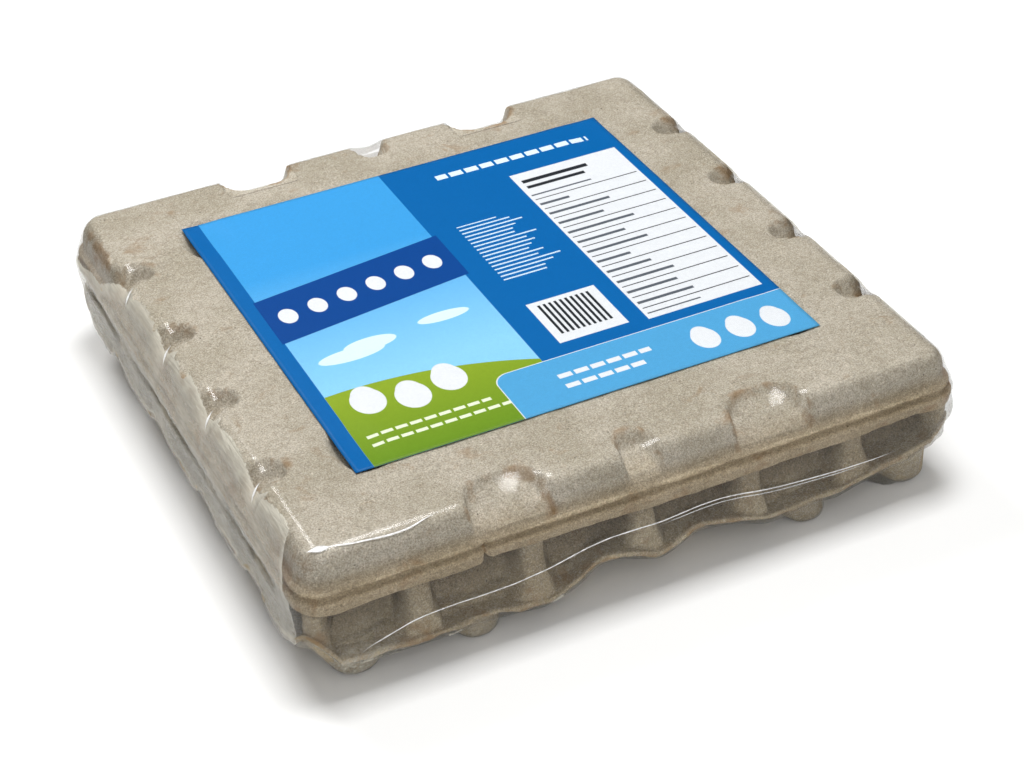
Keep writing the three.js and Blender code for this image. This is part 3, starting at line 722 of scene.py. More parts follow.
def footHalves(height):
    # How far a foot has widened by a height, and half its size along X and Y there
    widen = np.interp(height, footShape["widenAt"], footShape["widen"])
    tuck = np.interp(height, footShape["tuckAt"], footShape["tuck"])
    halfX = blendTo(footShape["halfSole"], footShape["halfTopX"], widen) - tuck
    return widen, halfX, blendTo(footShape["halfSole"], footShape["halfTopY"], np.minimum(widen, 1.0)) - tuck


def footPoints(cx, cy):
    # One foot, the underside of a cup: squared ovals |x|^p + |y|^p = 1 that widen upwards, with
    # a bowl-shaped sole
    height = np.array(footShape["rings"])
    widen, halfX, halfY = footHalves(height)
    halfX[-1] -= footShape["flatStep"]
    halfY[-1] -= footShape["flatStep"]
    middleX, middleY = footPlace(cx, cy, widen)
    angle = -np.arange(footShape["around"]) / footShape["around"] * 2 * np.pi
    squareX = np.sign(np.cos(angle)) * np.abs(np.cos(angle)) ** footShape["squareness"]
    squareY = np.sign(np.sin(angle)) * np.abs(np.sin(angle)) ** footShape["squareness"]
    x = middleX[:, None] + halfX[:, None] * squareX
    y = middleY[:, None] + halfY[:, None] * squareY
    z = np.broadcast_to(height[:, None], x.shape)
    points = np.stack([x, y, z], axis=-1)
    rough = 0.45 * lumps(points, 8.0, 2.2) + 0.22 * lumps(points, 3.0, 5.5)
    out = np.stack([squareX, squareY, 0 * squareX], axis=-1)
    return points + out * (rough * smooth(z, 0.2, 2.0))[..., None]


def joinFeet(skirt, wearAndShade, shadeShare, feet, material):
    # The skirt's faces and one closed loft for every foot, in one mesh, with two values at each vertex: where
    # it is worn, and how far in between the posts it lies, which sets how much painted shade it gets there, 0
    # on the feet
    loops = np.empty(len(skirt.loops), np.int32)
    skirt.loops.foreach_get("vertex_index", loops)
    totals = np.empty(len(skirt.polygons), np.int32)
    skirt.polygons.foreach_get("loop_total", totals)
    quadCount = int((totals == 4).sum())
    skirtQuads, skirtTriangles = loops[:quadCount * 4].reshape(-1, 4), loops[quadCount * 4:].reshape(-1, 3)
    number, rings, count = feet.shape[:3]
    i = np.arange(count)
    j = (i + 1) % count
    k = (np.arange(rings - 1) * count)[:, None]
    quads = np.stack([k + i, k + j, k + count + j, k + count + i], axis=-1).reshape(-1, 4)
    last = (rings - 1) * count
    cap = np.stack([np.full(count, rings * count), j, i], axis=-1)
    sole = np.stack([np.full(count, rings * count + 1), last + i, last + j], axis=-1)
    middles = np.stack([feet[:, 0].mean(axis=1), feet[:, -1].mean(axis=1)], axis=1)
    vertices = np.concatenate([feet.reshape(number, -1, 3), middles], axis=1) * millimetre
    start = (len(skirt.vertices) + np.arange(number) * vertices.shape[1])[:, None, None]
    mesh = meshFrom("pulpTray", np.concatenate([meshArray(skirt), vertices.reshape(-1, 3)]),
                    np.concatenate([skirtQuads, (quads + start).reshape(-1, 4)]),
                    np.concatenate([skirtTriangles, (np.concatenate([cap, sole]) + start).reshape(-1, 3)]))
    for name, given in (("wearAndShade", wearAndShade), ("shadeShare", shadeShare)):
        values = np.zeros(len(mesh.vertices), np.float32)
        values[:given.size] = given.ravel()
        mesh.attributes.new(name, "FLOAT", "POINT").data.foreach_set("value", values)
    return addPiece("pulpTray", mesh, material, "tray")


# Label
labelShape = {"length": 213.0, "depth": 207.0, "x": 0.6, "y": 2.6, "height": 69.3, "thickness": 0.24}
labelInk = {
    "blue": "#0064A8",
    "navy": "#044690",
    "sky": "#3E9EDB",
    "paleSky": "#8CCBEE",
    "grass": "#8CA52A",
    "darkGrass": "#6A9020",
    "band": "#52A3D2",
    "white": "#E0E3E6",
    "ink": "#22262B",
    "words": "#5A6068",
    "rules": "#CFE3F2",
    "heading": "#DCEBF6",
    "grassRules": "#E4EBD2",
    "cloud": "#D5ECF9",
}
# mm from the label's lower left corner; a field is given by its middle and half its size
labelPrint = {
    "soften": 0.12,             # over which the edge of a field softens
    "panel": (53.0, 103.5, 45.0, 103.5),
    "skyFrom": 55.0,
    "skyTo": 150.0,
    "hill": (20.0, -150.0, 190.0, 203.0),
    "grassLight": 48.0,         # height up to which the grass gets lighter
    "band": (53.5, 114.0, 46.5, 18.0),
    "bandLean": 0.13,           # how much the band rises for each millimetre to the right
    "bandOvals": (17.0, 31.5, 46.0, 60.5, 75.0, 89.5),
    "eggs": ((23.0, 42.0), (41.0, 37.0), (59.0, 41.0)),
    "grassRules": ((13.5, 62.0), (19.5, 55.0)),         # height and length
    "clouds": ((30.0, 76.0, 15.0, 4.5), (40.0, 80.0, 12.0, 4.5), (76.0, 84.0, 12.0, 3.5)),
    "stripEdge": (151.6, 5.0, 77.6, 27.6),
    "strip": (152.0, 4.6, 77.6, 27.6),
    "stripCorner": 7.0,
    "stripOvals": (166.0, 183.0, 200.0),
    "stripRules": ((19.5, 44.0), (12.0, 38.0)),
    "sheet": (180.0, 107.5, 28.0, 68.5),
    "sheetRows": (180.0, 99.0, 26.5, 56.5),
    "sheetPitch": 9.4,
    "sheetHeads": ((172.0, 168.0, 17.0, 1.4), (170.0, 162.5, 15.0, 1.2)),
    "block": (127.0, 57.5, 16.5, 16.5),
    "bars": (127.0, 59.0, 13.0, 12.0),
    "barPitch": 2.6,
    "column": (128.0, 121.0, 17.0, 25.5),
    "columnPitch": 3.1,
    "heading": (161.0, 191.0, 40.0, 2.0),
}


def printedPaper():
    # Coated label paper with offset print: flat even ink with a satin sheen and a faint cockle
    material, tree = newMaterial("coated label paper with offset print")
    uv = addNode(tree, "ShaderNodeUVMap", {"uv_map": "print"})
    size = (labelShape["length"], labelShape["depth"], 1.0)
    at = addNode(tree, "ShaderNodeVectorMath", {"operation": "MULTIPLY"}, {0: uv.outputs[0], 1: size})
    parts = addNode(tree, "ShaderNodeSeparateXYZ", inputs={0: at.outputs[0]})
    edge = labelPrint["soften"]

    def field(cx, cy, halfX, halfY, shape="box", corner=0.0):
        # 1 inside a box or an oval centred at cx, cy, by the distance outside it
        away = addNode(tree, "ShaderNodeVectorMath", {"operation": "SUBTRACT"},
                       {0: at.outputs[0], 1: (cx, cy, 0)})
        if shape == "oval":
            flat = addNode(tree, "ShaderNodeVectorMath", {"operation": "DIVIDE"},
                           {0: away.outputs[0], 1: (halfX, halfY, 1)})
            span = addNode(tree, "ShaderNodeVectorMath", {"operation": "LENGTH"}, {0: flat.outputs[0]})
            soft = edge / min(halfX, halfY)
            return addNode(tree, "ShaderNodeMapRange",
                           inputs={0: span.outputs["Value"], 1: 1 + soft, 2: 1 - soft}).outputs[0]
        size = addNode(tree, "ShaderNodeVectorMath", {"operation": "ABSOLUTE"}, {0: away.outputs[0]})
        outside = addNode(tree, "ShaderNodeVectorMath", {"operation": "SUBTRACT"},
                          {0: size.outputs[0], 1: (halfX - corner, halfY - corner, 0)})
        held = addNode(tree, "ShaderNodeVectorMath", {"operation": "MAXIMUM"},
                       {0: outside.outputs[0], 1: (0, 0, 0)})
        if corner > 0:
            span = addNode(tree, "ShaderNodeVectorMath", {"operation": "LENGTH"},
                           {0: held.outputs[0]}).outputs["Value"]
        else:
            split = addNode(tree, "ShaderNodeSeparateXYZ", inputs={0: outside.outputs[0]})
            span = addNode(tree, "ShaderNodeMath", {"operation": "MAXIMUM"},
                           {0: split.outputs[0], 1: split.outputs[1]}).outputs[0]
        return addNode(tree, "ShaderNodeMapRange",
                       inputs={0: span, 1: corner + edge, 2: corner - edge}).outputs[0]

    def over(colour, ink, mask):
        # ink printed over the colour so far
        ink = linear(ink) if isinstance(ink, str) else ink
        return addNode(tree, "ShaderNodeMix", {"data_type": "RGBA"}, {0: mask, 6: colour, 7: ink}).outputs[2]

    def both(a, b):
        # the product of two masks
        return addNode(tree, "ShaderNodeMath", {"operation": "MULTIPLY"}, {0: a, 1: b}).outputs[0]

    def stripes(value, pitch, share, phase=0.0):
        # 1 over a share of every pitch
        scaled = addNode(tree, "ShaderNodeMath", {"operation": "MULTIPLY_ADD"},
                         {0: value, 1: 1 / pitch, 2: phase})
        part = addNode(tree, "ShaderNodeMath", {"operation": "FRACT"}, {0: scaled.outputs[0]})
        soft = edge / pitch
        return addNode(tree, "ShaderNodeMapRange",
                       inputs={0: part.outputs[0], 1: share + soft, 2: share - soft}).outputs[0]

    def ragged(low, high, seed, pitch):
        # a line length for every row: 1 up to a random place between low and high
        row = addNode(tree, "ShaderNodeMath", {"operation": "MULTIPLY"}, {0: parts.outputs[1], 1: 1 / pitch})
        whole = addNode(tree, "ShaderNodeMath", {"operation": "FLOOR"}, {0: row.outputs[0]})
        shifted = addNode(tree, "ShaderNodeMath", {"operation": "ADD"}, {0: whole.outputs[0], 1: seed})
        chance = addNode(tree, "ShaderNodeTexWhiteNoise", {"noise_dimensions": "1D"},
                         {"W": shifted.outputs[0]})
        limit = addNode(tree, "ShaderNodeMapRange", inputs={0: chance.outputs["Value"], 3: low, 4: high})
        return addNode(tree, "ShaderNodeMath", {"operation": "LESS_THAN"},
                       {0: parts.outputs[0], 1: limit.outputs[0]}).outputs[0]

    # the left panel: sky fading downwards, a plain navy band, a green field with a curved top
    panel = field(*labelPrint["panel"])
    fade = addNode(tree, "ShaderNodeMapRange",
                   inputs={0: parts.outputs[1], 1: labelPrint["skyFrom"], 2: labelPrint["skyTo"]})
    sky = addNode(tree, "ShaderNodeMix", {"data_type": "RGBA"},
                  {0: fade.outputs[0], 6: linear(labelInk["paleSky"]), 7: linear(labelInk["sky"])})
    colour = over(linear(labelInk["blue"]), sky.outputs[2], panel)
    hill = both(panel, field(*labelPrint["hill"], "oval"))
    shade = addNode(tree, "ShaderNodeMapRange",
                    inputs={0: parts.outputs[1], 1: 0.0, 2: labelPrint["grassLight"]})
    green = addNode(tree, "ShaderNodeMix", {"data_type": "RGBA"},
                    {0: shade.outputs[0], 6: linear(labelInk["darkGrass"]), 7: linear(labelInk["grass"])})
    colour = over(colour, green.outputs[2], hill)
    # the band is a box on axes that lean with it
    bandX, bandY, bandHalfX, bandHalfY = labelPrint["band"]
    slope = addNode(tree, "ShaderNodeMath", {"operation": "MULTIPLY_ADD"},
                    {0: parts.outputs[0], 1: -labelPrint["bandLean"], 2: parts.outputs[1]})
    leaning = addNode(tree, "ShaderNodeCombineXYZ", inputs={0: parts.outputs[0], 1: slope.outputs[0]})
    away = addNode(tree, "ShaderNodeVectorMath", {"operation": "SUBTRACT"},
                   {0: leaning.outputs[0], 1: (bandX, bandY, 0)})
    size = addNode(tree, "ShaderNodeVectorMath", {"operation": "ABSOLUTE"}, {0: away.outputs[0]})
    split = addNode(tree, "ShaderNodeSeparateXYZ", inputs={0: size.outputs[0]})
    tall = addNode(tree, "ShaderNodeMapRange",
                   inputs={0: split.outputs[1], 1: bandHalfY + 0.1, 2: bandHalfY - 0.1})
    broad = addNode(tree, "ShaderNodeMapRange",
                    inputs={0: split.outputs[0], 1: bandHalfX + 0.1, 2: bandHalfX - 0.1})
    colour = over(colour, labelInk["navy"], both(tall.outputs[0], broad.outputs[0]))
    for cx in labelPrint["bandOvals"]:
        colour = over(colour, labelInk["white"],
                      field(cx, bandY + labelPrint["bandLean"] * cx, 4.2, 5.8, "oval"))
    # three plain white eggs on the grass, two rows of rules under them and pale clouds
    for cx, cy in labelPrint["eggs"]:
        colour = over(colour, labelInk["white"], field(cx, cy, 7.4, 9.2, "oval"))
        colour = over(colour, labelInk["white"], field(cx, cy + 2.4, 6.0, 8.6, "oval"))
    for cy, last in labelPrint["grassRules"]:
        rule = both(field(last / 2 + 13.0, cy, last / 2, 1.0), stripes(parts.outputs[0], 6.4, 0.8))
        colour = over(colour, labelInk["grassRules"], rule)
    for cloud in labelPrint["clouds"]:
        colour = over(colour, labelInk["cloud"], both(panel, field(*cloud, "oval")))
    # the lower right band and three ovals in it
    colour = over(colour, labelInk["white"],
                  field(*labelPrint["stripEdge"], "box", labelPrint["stripCorner"]))
    colour = over(colour, labelInk["band"], field(*labelPrint["strip"], "box", labelPrint["stripCorner"]))
    for cx in labelPrint["stripOvals"]:
        colour = over(colour, labelInk["white"], field(cx, 15.0, 6.0, 7.8, "oval"))
        colour = over(colour, labelInk["white"], field(cx, 16.8, 4.9, 7.4, "oval"))
    for cy, last in labelPrint["stripRules"]:
        rule = both(field(98.0 + last / 2, cy, last / 2, 1.5), stripes(parts.outputs[0], 7.6, 0.82))
        colour = over(colour, labelInk["white"], rule)
    # a ruled table
    colour = over(colour, labelInk["white"], field(*labelPrint["sheet"]))
    inner = field(*labelPrint["sheetRows"])
    pitch = labelPrint["sheetPitch"]
    colour = over(colour, labelInk["ink"], both(inner, stripes(parts.outputs[1], pitch, 0.07)))
    words = both(stripes(parts.outputs[1], pitch, 0.2, -0.42), ragged(168.0, 188.0, 3.0, pitch))
    colour = over(colour, labelInk["words"], both(inner, words))
    for head in labelPrint["sheetHeads"]:
        colour = over(colour, labelInk["ink"], field(*head))
    # a bar block
    colour = over(colour, labelInk["white"], field(*labelPrint["block"]))
    bars = both(stripes(parts.outputs[0], labelPrint["barPitch"], 0.5), field(*labelPrint["bars"]))
    colour = over(colour, labelInk["ink"], bars)
    # small white rules
    pitch = labelPrint["columnPitch"]
    lines = both(stripes(parts.outputs[1], pitch, 0.32), ragged(130.0, 145.0, 9.0, pitch))
    colour = over(colour, labelInk["rules"], both(field(*labelPrint["column"]), lines))
    heading = both(field(*labelPrint["heading"]), stripes(parts.outputs[0], 8.0, 0.82))
    colour = over(colour, labelInk["heading"], heading)
    # print and paper grain
    place = addNode(tree, "ShaderNodeTexCoord")
    mm = addNode(tree, "ShaderNodeVectorMath", {"operation": "SCALE"},
                 {0: place.outputs["Object"], 3: 1000.0})
    grain = addNode(tree, "ShaderNodeTexNoise", inputs={"Vector": mm.outputs[0], "Scale": 0.9, "Detail": 3.0})
    cockle = addNode(tree, "ShaderNodeTexNoise",
                     inputs={"Vector": mm.outputs[0], "Scale": 1 / 22.0, "Detail": 2.0})
    tone = addNode(tree, "ShaderNodeMapRange", inputs={0: grain.outputs[0], 3: 0.9, 4: 1.06})
    inked = addNode(tree, "ShaderNodeMix", {"data_type": "RGBA", "blend_type": "MULTIPLY"},
                    {0: 1.0, 6: colour, 7: tone.outputs[0]})
    rough = addNode(tree, "ShaderNodeMapRange", inputs={0: grain.outputs[0], 3: 0.38, 4: 0.5})
    height = addNode(tree, "ShaderNodeMath", {"operation": "MULTIPLY_ADD"},
                     {0: grain.outputs[0], 1: 0.03, 2: cockle.outputs[0]})
    bump = addNode(tree, "ShaderNodeBump",
                   inputs={"Height": height.outputs[0], "Distance": 0.001, "Strength": 0.25})
    shader = addNode(tree, "ShaderNodeBsdfPrincipled", inputs={
        "Base Color": inked.outputs[2], "Roughness": rough.outputs[0], "Specular IOR Level": 0.18,
        "Normal": bump.outputs[0]})
    addNode(tree, "ShaderNodeOutputMaterial", inputs={0: shader.outputs[0]})
    return material


def makeLabel(material):
    # A plate on a grid of u along X and v along Y that dips a little over the pits, closed by
    # its own underside and edges
    columns, rows = 110, 106
    u, v = np.meshgrid(np.linspace(0, 1, columns), np.linspace(0, 1, rows))
    x = labelShape["x"] + (u - 0.5) * labelShape["length"]
    y = labelShape["y"] + (v - 0.5) * labelShape["depth"]
    flat = np.stack([x, y, 0 * x], axis=-1)
    dip = 0.5 * pitDepth(x, y, 0.3) / pits["depth"]
    z = labelShape["height"] + 0.05 * lumps(flat, 18.0, 0.9) - dip
    top = np.stack([x, y, z + labelShape["thickness"]], axis=-1).reshape(-1, 3)
    base = np.stack([x, y, z], axis=-1).reshape(-1, 3)
    count = columns * rows
    i, j = np.meshgrid(np.arange(rows - 1), np.arange(columns - 1), indexing="ij")
    a = (i * columns + j).ravel()
    up = np.stack([a, a + 1, a + columns + 1, a + columns], axis=-1)
    down = np.stack([a, a + columns, a + columns + 1, a + 1], axis=-1) + count
    border = np.concatenate([
        np.arange(columns), np.arange(1, rows) * columns + columns - 1,
        (rows - 1) * columns + np.arange(columns - 2, -1, -1), np.arange(rows - 2, 0, -1) * columns])
    following = np.roll(border, -1)
    edges = np.stack([border, border + count, following + count, following], axis=-1)
    quads = np.concatenate([up, down, edges])
    mesh = meshFrom("printedLabel", np.concatenate([top, base]) * millimetre, quads, np.zeros((0, 3), int))
    layer = mesh.uv_layers.new(name="print")
    place = np.concatenate([np.stack([u, v], axis=-1).reshape(-1, 2)] * 2)
    layer.data.foreach_set("uv", place[quads.ravel()].astype(np.float32).ravel())
    return addPiece("printedLabel", mesh, material, "label")


# Shrink film
filmShape = {
    "stationSpacing": 1.25,
    "cornerSteps": 12,
    "clearance": 0.3,
    "top": 69.8,
    "hem": 0.5,
    # height over a wide scoop's middle by inset, and the share of that dip over a narrow one
    "scoopInset": [1.0, 4.0, 8.0, 12.0, 16.0, 20.0, 24.0, 27.0],
    "scoopHeight": [54.8, 58.4, 61.4, 64.0, 66.1, 67.9, 69.1, 69.8],
    "narrowShare": 0.25,
    # the loose curtain on the left and the right: inset and height from the top to the rim
    "curtain": [(9.5, 68.5), (7.2, 67.0), (5.2, 64.9), (3.7, 62.0), (2.6, 59.0), (1.5, 55.5), (0.5, 52.6),
                (-0.3, 50.0)],
    "veilFrom": 3.0,            # mm under the top edge where the curtain leaves the pulp
    "foldEvery": 54.5,
    "tuckIn": 5.0,              # how far it goes in under the rim on the left and the right
    "footGap": 0.5,             # clear of the outer feet
    "drawnIn": 38.0,            # inset between the outer feet, where it is drawn in
}
filmLook = {
    "gloss": 0.15,
    "ior": 1.4,
    "mirror": 0.45,             # the film is too thin to mirror as much as plate does
    "milk": "#E8E3D3",
    "veil": 0.28,               # share of milkiness in the loose curtain, and more at its upper edge
    "veilHigh": 0.26,
    "streak": 0.24,
    # white of the creases and the weld, and of the painted highlight on the front fold
    "crease": "#FFFFFF",
}


def shrinkFilmClear():
    # Polyolefin shrink film, blown thin and drawn tight by hot air: water clear, mirror glossy
    # at a low angle, and milky with fine drawn streaks where it hangs loose
    material, tree = newMaterial("clear polyolefin shrink film")
    place = addNode(tree, "ShaderNodeTexCoord")
    mm = addNode(tree, "ShaderNodeVectorMath", {"operation": "SCALE"},
                 {0: place.outputs["Object"], 3: 1000.0})
    ripple = addNode(tree, "ShaderNodeTexNoise",
                     inputs={"Vector": mm.outputs[0], "Scale": 1 / 11.0, "Detail": 1.6, "Distortion": 0.8})
    fine = addNode(tree, "ShaderNodeTexNoise",
                   inputs={"Vector": mm.outputs[0], "Scale": 1 / 2.2, "Detail": 2.0})
    height = addNode(tree, "ShaderNodeMath", {"operation": "MULTIPLY_ADD"},
                     {0: fine.outputs[0], 1: 0.02, 2: ripple.outputs[0]})
    bump = addNode(tree, "ShaderNodeBump",
                   inputs={"Height": height.outputs[0], "Distance": 0.001, "Strength": 0.18})
    clear = addNode(tree, "ShaderNodeBsdfTransparent", inputs={0: linear("#FDFDFD")})
    gloss = addNode(tree, "ShaderNodeBsdfAnisotropic",
                    inputs={"Roughness": filmLook["gloss"], "Normal": bump.outputs[0]})
    # both faces of the film mirror: 2R / (1 + R), with R the share that one face mirrors
    one = addNode(tree, "ShaderNodeFresnel", inputs={"IOR": filmLook["ior"], "Normal": bump.outputs[0]})
    twice = addNode(tree, "ShaderNodeMath", {"operation": "MULTIPLY"}, {0: one.outputs[0], 1: 2.0})
    more = addNode(tree, "ShaderNodeMath", {"operation": "ADD"}, {0: one.outputs[0], 1: 1.0})
    mirror = addNode(tree, "ShaderNodeMath", {"operation": "DIVIDE"},
                     {0: twice.outputs[0], 1: more.outputs[0]})
    part = addNode(tree, "ShaderNodeMath", {"operation": "MULTIPLY"},
                   {0: mirror.outputs[0], 1: filmLook["mirror"]})
    glossy = addNode(tree, "ShaderNodeMixShader",
                     inputs={0: part.outputs[0], 1: clear.outputs[0], 2: gloss.outputs[0]})
    # the veil starts at a ragged line, and is streaked along the pack
    below = addNode(tree, "ShaderNodeAttribute", {"attribute_name": "veil"})
    ragged = addNode(tree, "ShaderNodeTexNoise",
                     inputs={"Vector": mm.outputs[0], "Scale": 1 / 2.4, "Detail": 3.0, "Roughness": 0.7})
    shift = addNode(tree, "ShaderNodeMapRange", {"clamp": False}, {0: ragged.outputs[0], 3: -1.6, 4: 1.6})
    line = addNode(tree, "ShaderNodeMath", {"operation": "ADD"},
                   {0: below.outputs["Fac"], 1: shift.outputs[0]})
    start = addNode(tree, "ShaderNodeMapRange", inputs={0: line.outputs[0], 1: -0.25, 2: 0.35, 4: 1.0})
    drawn = addNode(tree, "ShaderNodeVectorMath", {"operation": "MULTIPLY"},
                    {0: mm.outputs[0], 1: (0.8, 0.1, 0.8)})
    streaks = addNode(tree, "ShaderNodeTexNoise",
                      inputs={"Vector": drawn.outputs[0], "Scale": 1.0, "Detail": 4.0, "Roughness": 0.6,
                              "Distortion": 0.4})
    wrinkled = addNode(tree, "ShaderNodeBump",
                       inputs={"Height": streaks.outputs[0], "Distance": 0.002, "Strength": 0.7})
    milk = addNode(tree, "ShaderNodeBsdfPrincipled", inputs={
        "Base Color": linear(filmLook["milk"]), "Roughness": 0.4, "Specular IOR Level": 0.5,
        "Normal": wrinkled.outputs[0]})
    patches = addNode(tree, "ShaderNodeTexNoise",
                      inputs={"Vector": mm.outputs[0], "Scale": 1 / 16.0, "Detail": 2.0})
    uneven = addNode(tree, "ShaderNodeMath", {"operation": "ADD"},
                     {0: streaks.outputs[0], 1: patches.outputs[0]})
    amount = addNode(tree, "ShaderNodeMapRange", inputs={
        0: uneven.outputs[0], 1: 0.7, 2: 1.3, 3: filmLook["veil"] - filmLook["streak"] / 2,
        4: filmLook["veil"] + filmLook["streak"] / 2})
    high = addNode(tree, "ShaderNodeMapRange",
                   inputs={0: below.outputs["Fac"], 1: 9.0, 2: 1.0, 4: filmLook["veilHigh"]})
    milky = addNode(tree, "ShaderNodeMath", {"operation": "ADD"}, {0: high.outputs[0], 1: amount.outputs[0]})
    veil = addNode(tree, "ShaderNodeMath", {"operation": "MULTIPLY"},
                   {0: start.outputs[0], 1: milky.outputs[0]})
    bunched = addNode(tree, "ShaderNodeAttribute", {"attribute_name": "milk"})
    knots = addNode(tree, "ShaderNodeMapRange", inputs={0: ragged.outputs[0], 1: 0.36, 2: 0.7})
    crumple = addNode(tree, "ShaderNodeMath", {"operation": "MULTIPLY"},
                      {0: bunched.outputs["Fac"], 1: knots.outputs[0]})
    share = addNode(tree, "ShaderNodeMath", {"operation": "ADD", "use_clamp": True},
                    {0: veil.outputs[0], 1: crumple.outputs[0]})
    whole = addNode(tree, "ShaderNodeMixShader",
                    inputs={0: share.outputs[0], 1: glossy.outputs[0], 2: milk.outputs[0]})
    addNode(tree, "ShaderNodeOutputMaterial", inputs={0: whole.outputs[0]})
    return material


def curtainEdge(along):
    # How far down from the top edge, in mm along the film, the curtain starts: an arch between
    # one fold and the next, a narrow tongue at each fold, and a fall to the flange at the ends
    step = (69.0 - along) / filmShape["foldEvery"]
    t = step - np.floor(step)
    arch = 3.4 - 3.0 * np.sin(np.pi * np.clip(t / 0.86, 0, 1) ** 0.75)
    tongue = 4.4 * (bell(t, 0.0, 0.026) + bell(t, 1.0, 0.026)) * (np.abs(along) < 95)
    start = filmShape["veilFrom"] + arch - tongue + 16.0 * smooth(along, 76.0, 106.0)
    return start + 22.0 * smooth(along, -118.0, -134.0)


def filmOverScoops(x, y, plain):
    # Pulled from a scoop's back edge to the rim and down in its middle by 1 - side^2
    height = plain
    insetX, insetY = lidBox["length"] / 2 - np.abs(x), lidBox["depth"] / 2 - np.abs(y)
    rows = [(x, insetY, at, half) for at, half in scoopsX] + [(y, insetX, at, half) for at, half in scoopsY]
    for along, inset, at, half in rows:
        side = (along - at) / half
        across = np.clip(1 - (side / 1.1) ** 2, 0, 1) ** 1.7
        taut = np.interp(inset, filmShape["scoopInset"], filmShape["scoopHeight"])
        # in the wide scoops of the back it lies closer, 0.6 mm over the scoop's floor
        near = smooth(y, 100.0, 120.0) * (half > 10)
        across = blendTo(across, np.clip(2.2 * (1 - side ** 4), 0, 1), near)
        taut = blendTo(taut, rim["bottom"] + scoop["floorLow"] + 0.6 + scoop["floorSlope"] * inset, near)
        dip = 1.0 if half > 10 else filmShape["narrowShare"]
        share = across * dip * (inset < 27) * smooth(inset, 0.8, 2.5)
        height = np.minimum(height, blendTo(plain, np.minimum(plain, taut), share))
    return height


def filmAtFeet(stations, height):
    # Inset of the film at a height under the flange: against the front of the squared oval of
    # the nearest outer foot, cy + b (1 - |d / a|^2.5)^0.4, and drawn in from there between two
    x, y = outlineAt(stations, lidBox, 8.0)
    onX = stations["side"] % 2 == 0
    turn = np.nan_to_num(stations["turn"])
    widen, halfX, halfY = footHalves(height)
    front = np.full(height.shape, filmShape["drawnIn"])
    beside = front + 8.0
    for cx in cellsX:
        for cy in cellsY:
            footX, footY = footPlace(cx, cy, widen)
            endX, endY = abs(cx) >= cellsX[-1], abs(cy) >= cellsY[-1]
            for outer, own, at, place, size, a, b, cross, insets in (
                    (endY and abs(cx) > pitchX, y * cy > 0, x, footX, lidBox["depth"],
                     halfX, halfY, footY, front),
                    (endX, x * cx > 0, y, footY, lidBox["length"], halfY, halfX, footX, beside)):
                if not outer:
                    continue
                away = np.abs(at - place)
                if endX and endY:
                    away = np.where(np.abs(at) > np.abs(place), np.minimum(away, 0.74 * a), away)
                a, b = a + filmShape["footGap"], b + filmShape["footGap"]
                near = size / 2 - np.abs(cross) - b * (1 - np.clip(away / a, 0, 1) ** 2.5) ** 0.4
                near = near + 2.5 * np.maximum(away - a, 0)
                insets[:] = np.where(own, np.minimum(insets, near), insets)
    around = blendTo(front, beside, np.where(onX, turn, 1 - turn))
    return np.where(np.isnan(stations["turn"]), np.where(onX, front, beside), around)


def filmRoundCorners(x, y, z, share):
    # Round the outer quarter of a corner foot the film is pulled onto the foot's squared oval:
    # with n = (|dx / a|^2.5 + |dy / b|^2.5)^0.4, the offset from its middle is divided by n
    widen, halfX, halfY = footHalves(np.maximum(z, 0.0))
    for cx in (cellsX[0], cellsX[-1]):
        for cy in (cellsY[0], cellsY[-1]):
            footX, footY = footPlace(cx, cy, widen)
            dx, dy = x - footX, y - footY
            a, b = halfX + filmShape["footGap"], halfY + filmShape["footGap"]
            size = (np.abs(dx / a) ** 2.5 + np.abs(dy / b) ** 2.5) ** 0.4
            outer = (dx * cx > 0) & (dy * cy > 0) & (size > 1)
            pull = np.where(outer, share * (1 - 1 / np.maximum(size, 1.0)), 0.0)
            x, y = x - dx * pull, y - dy * pull
    return x, y


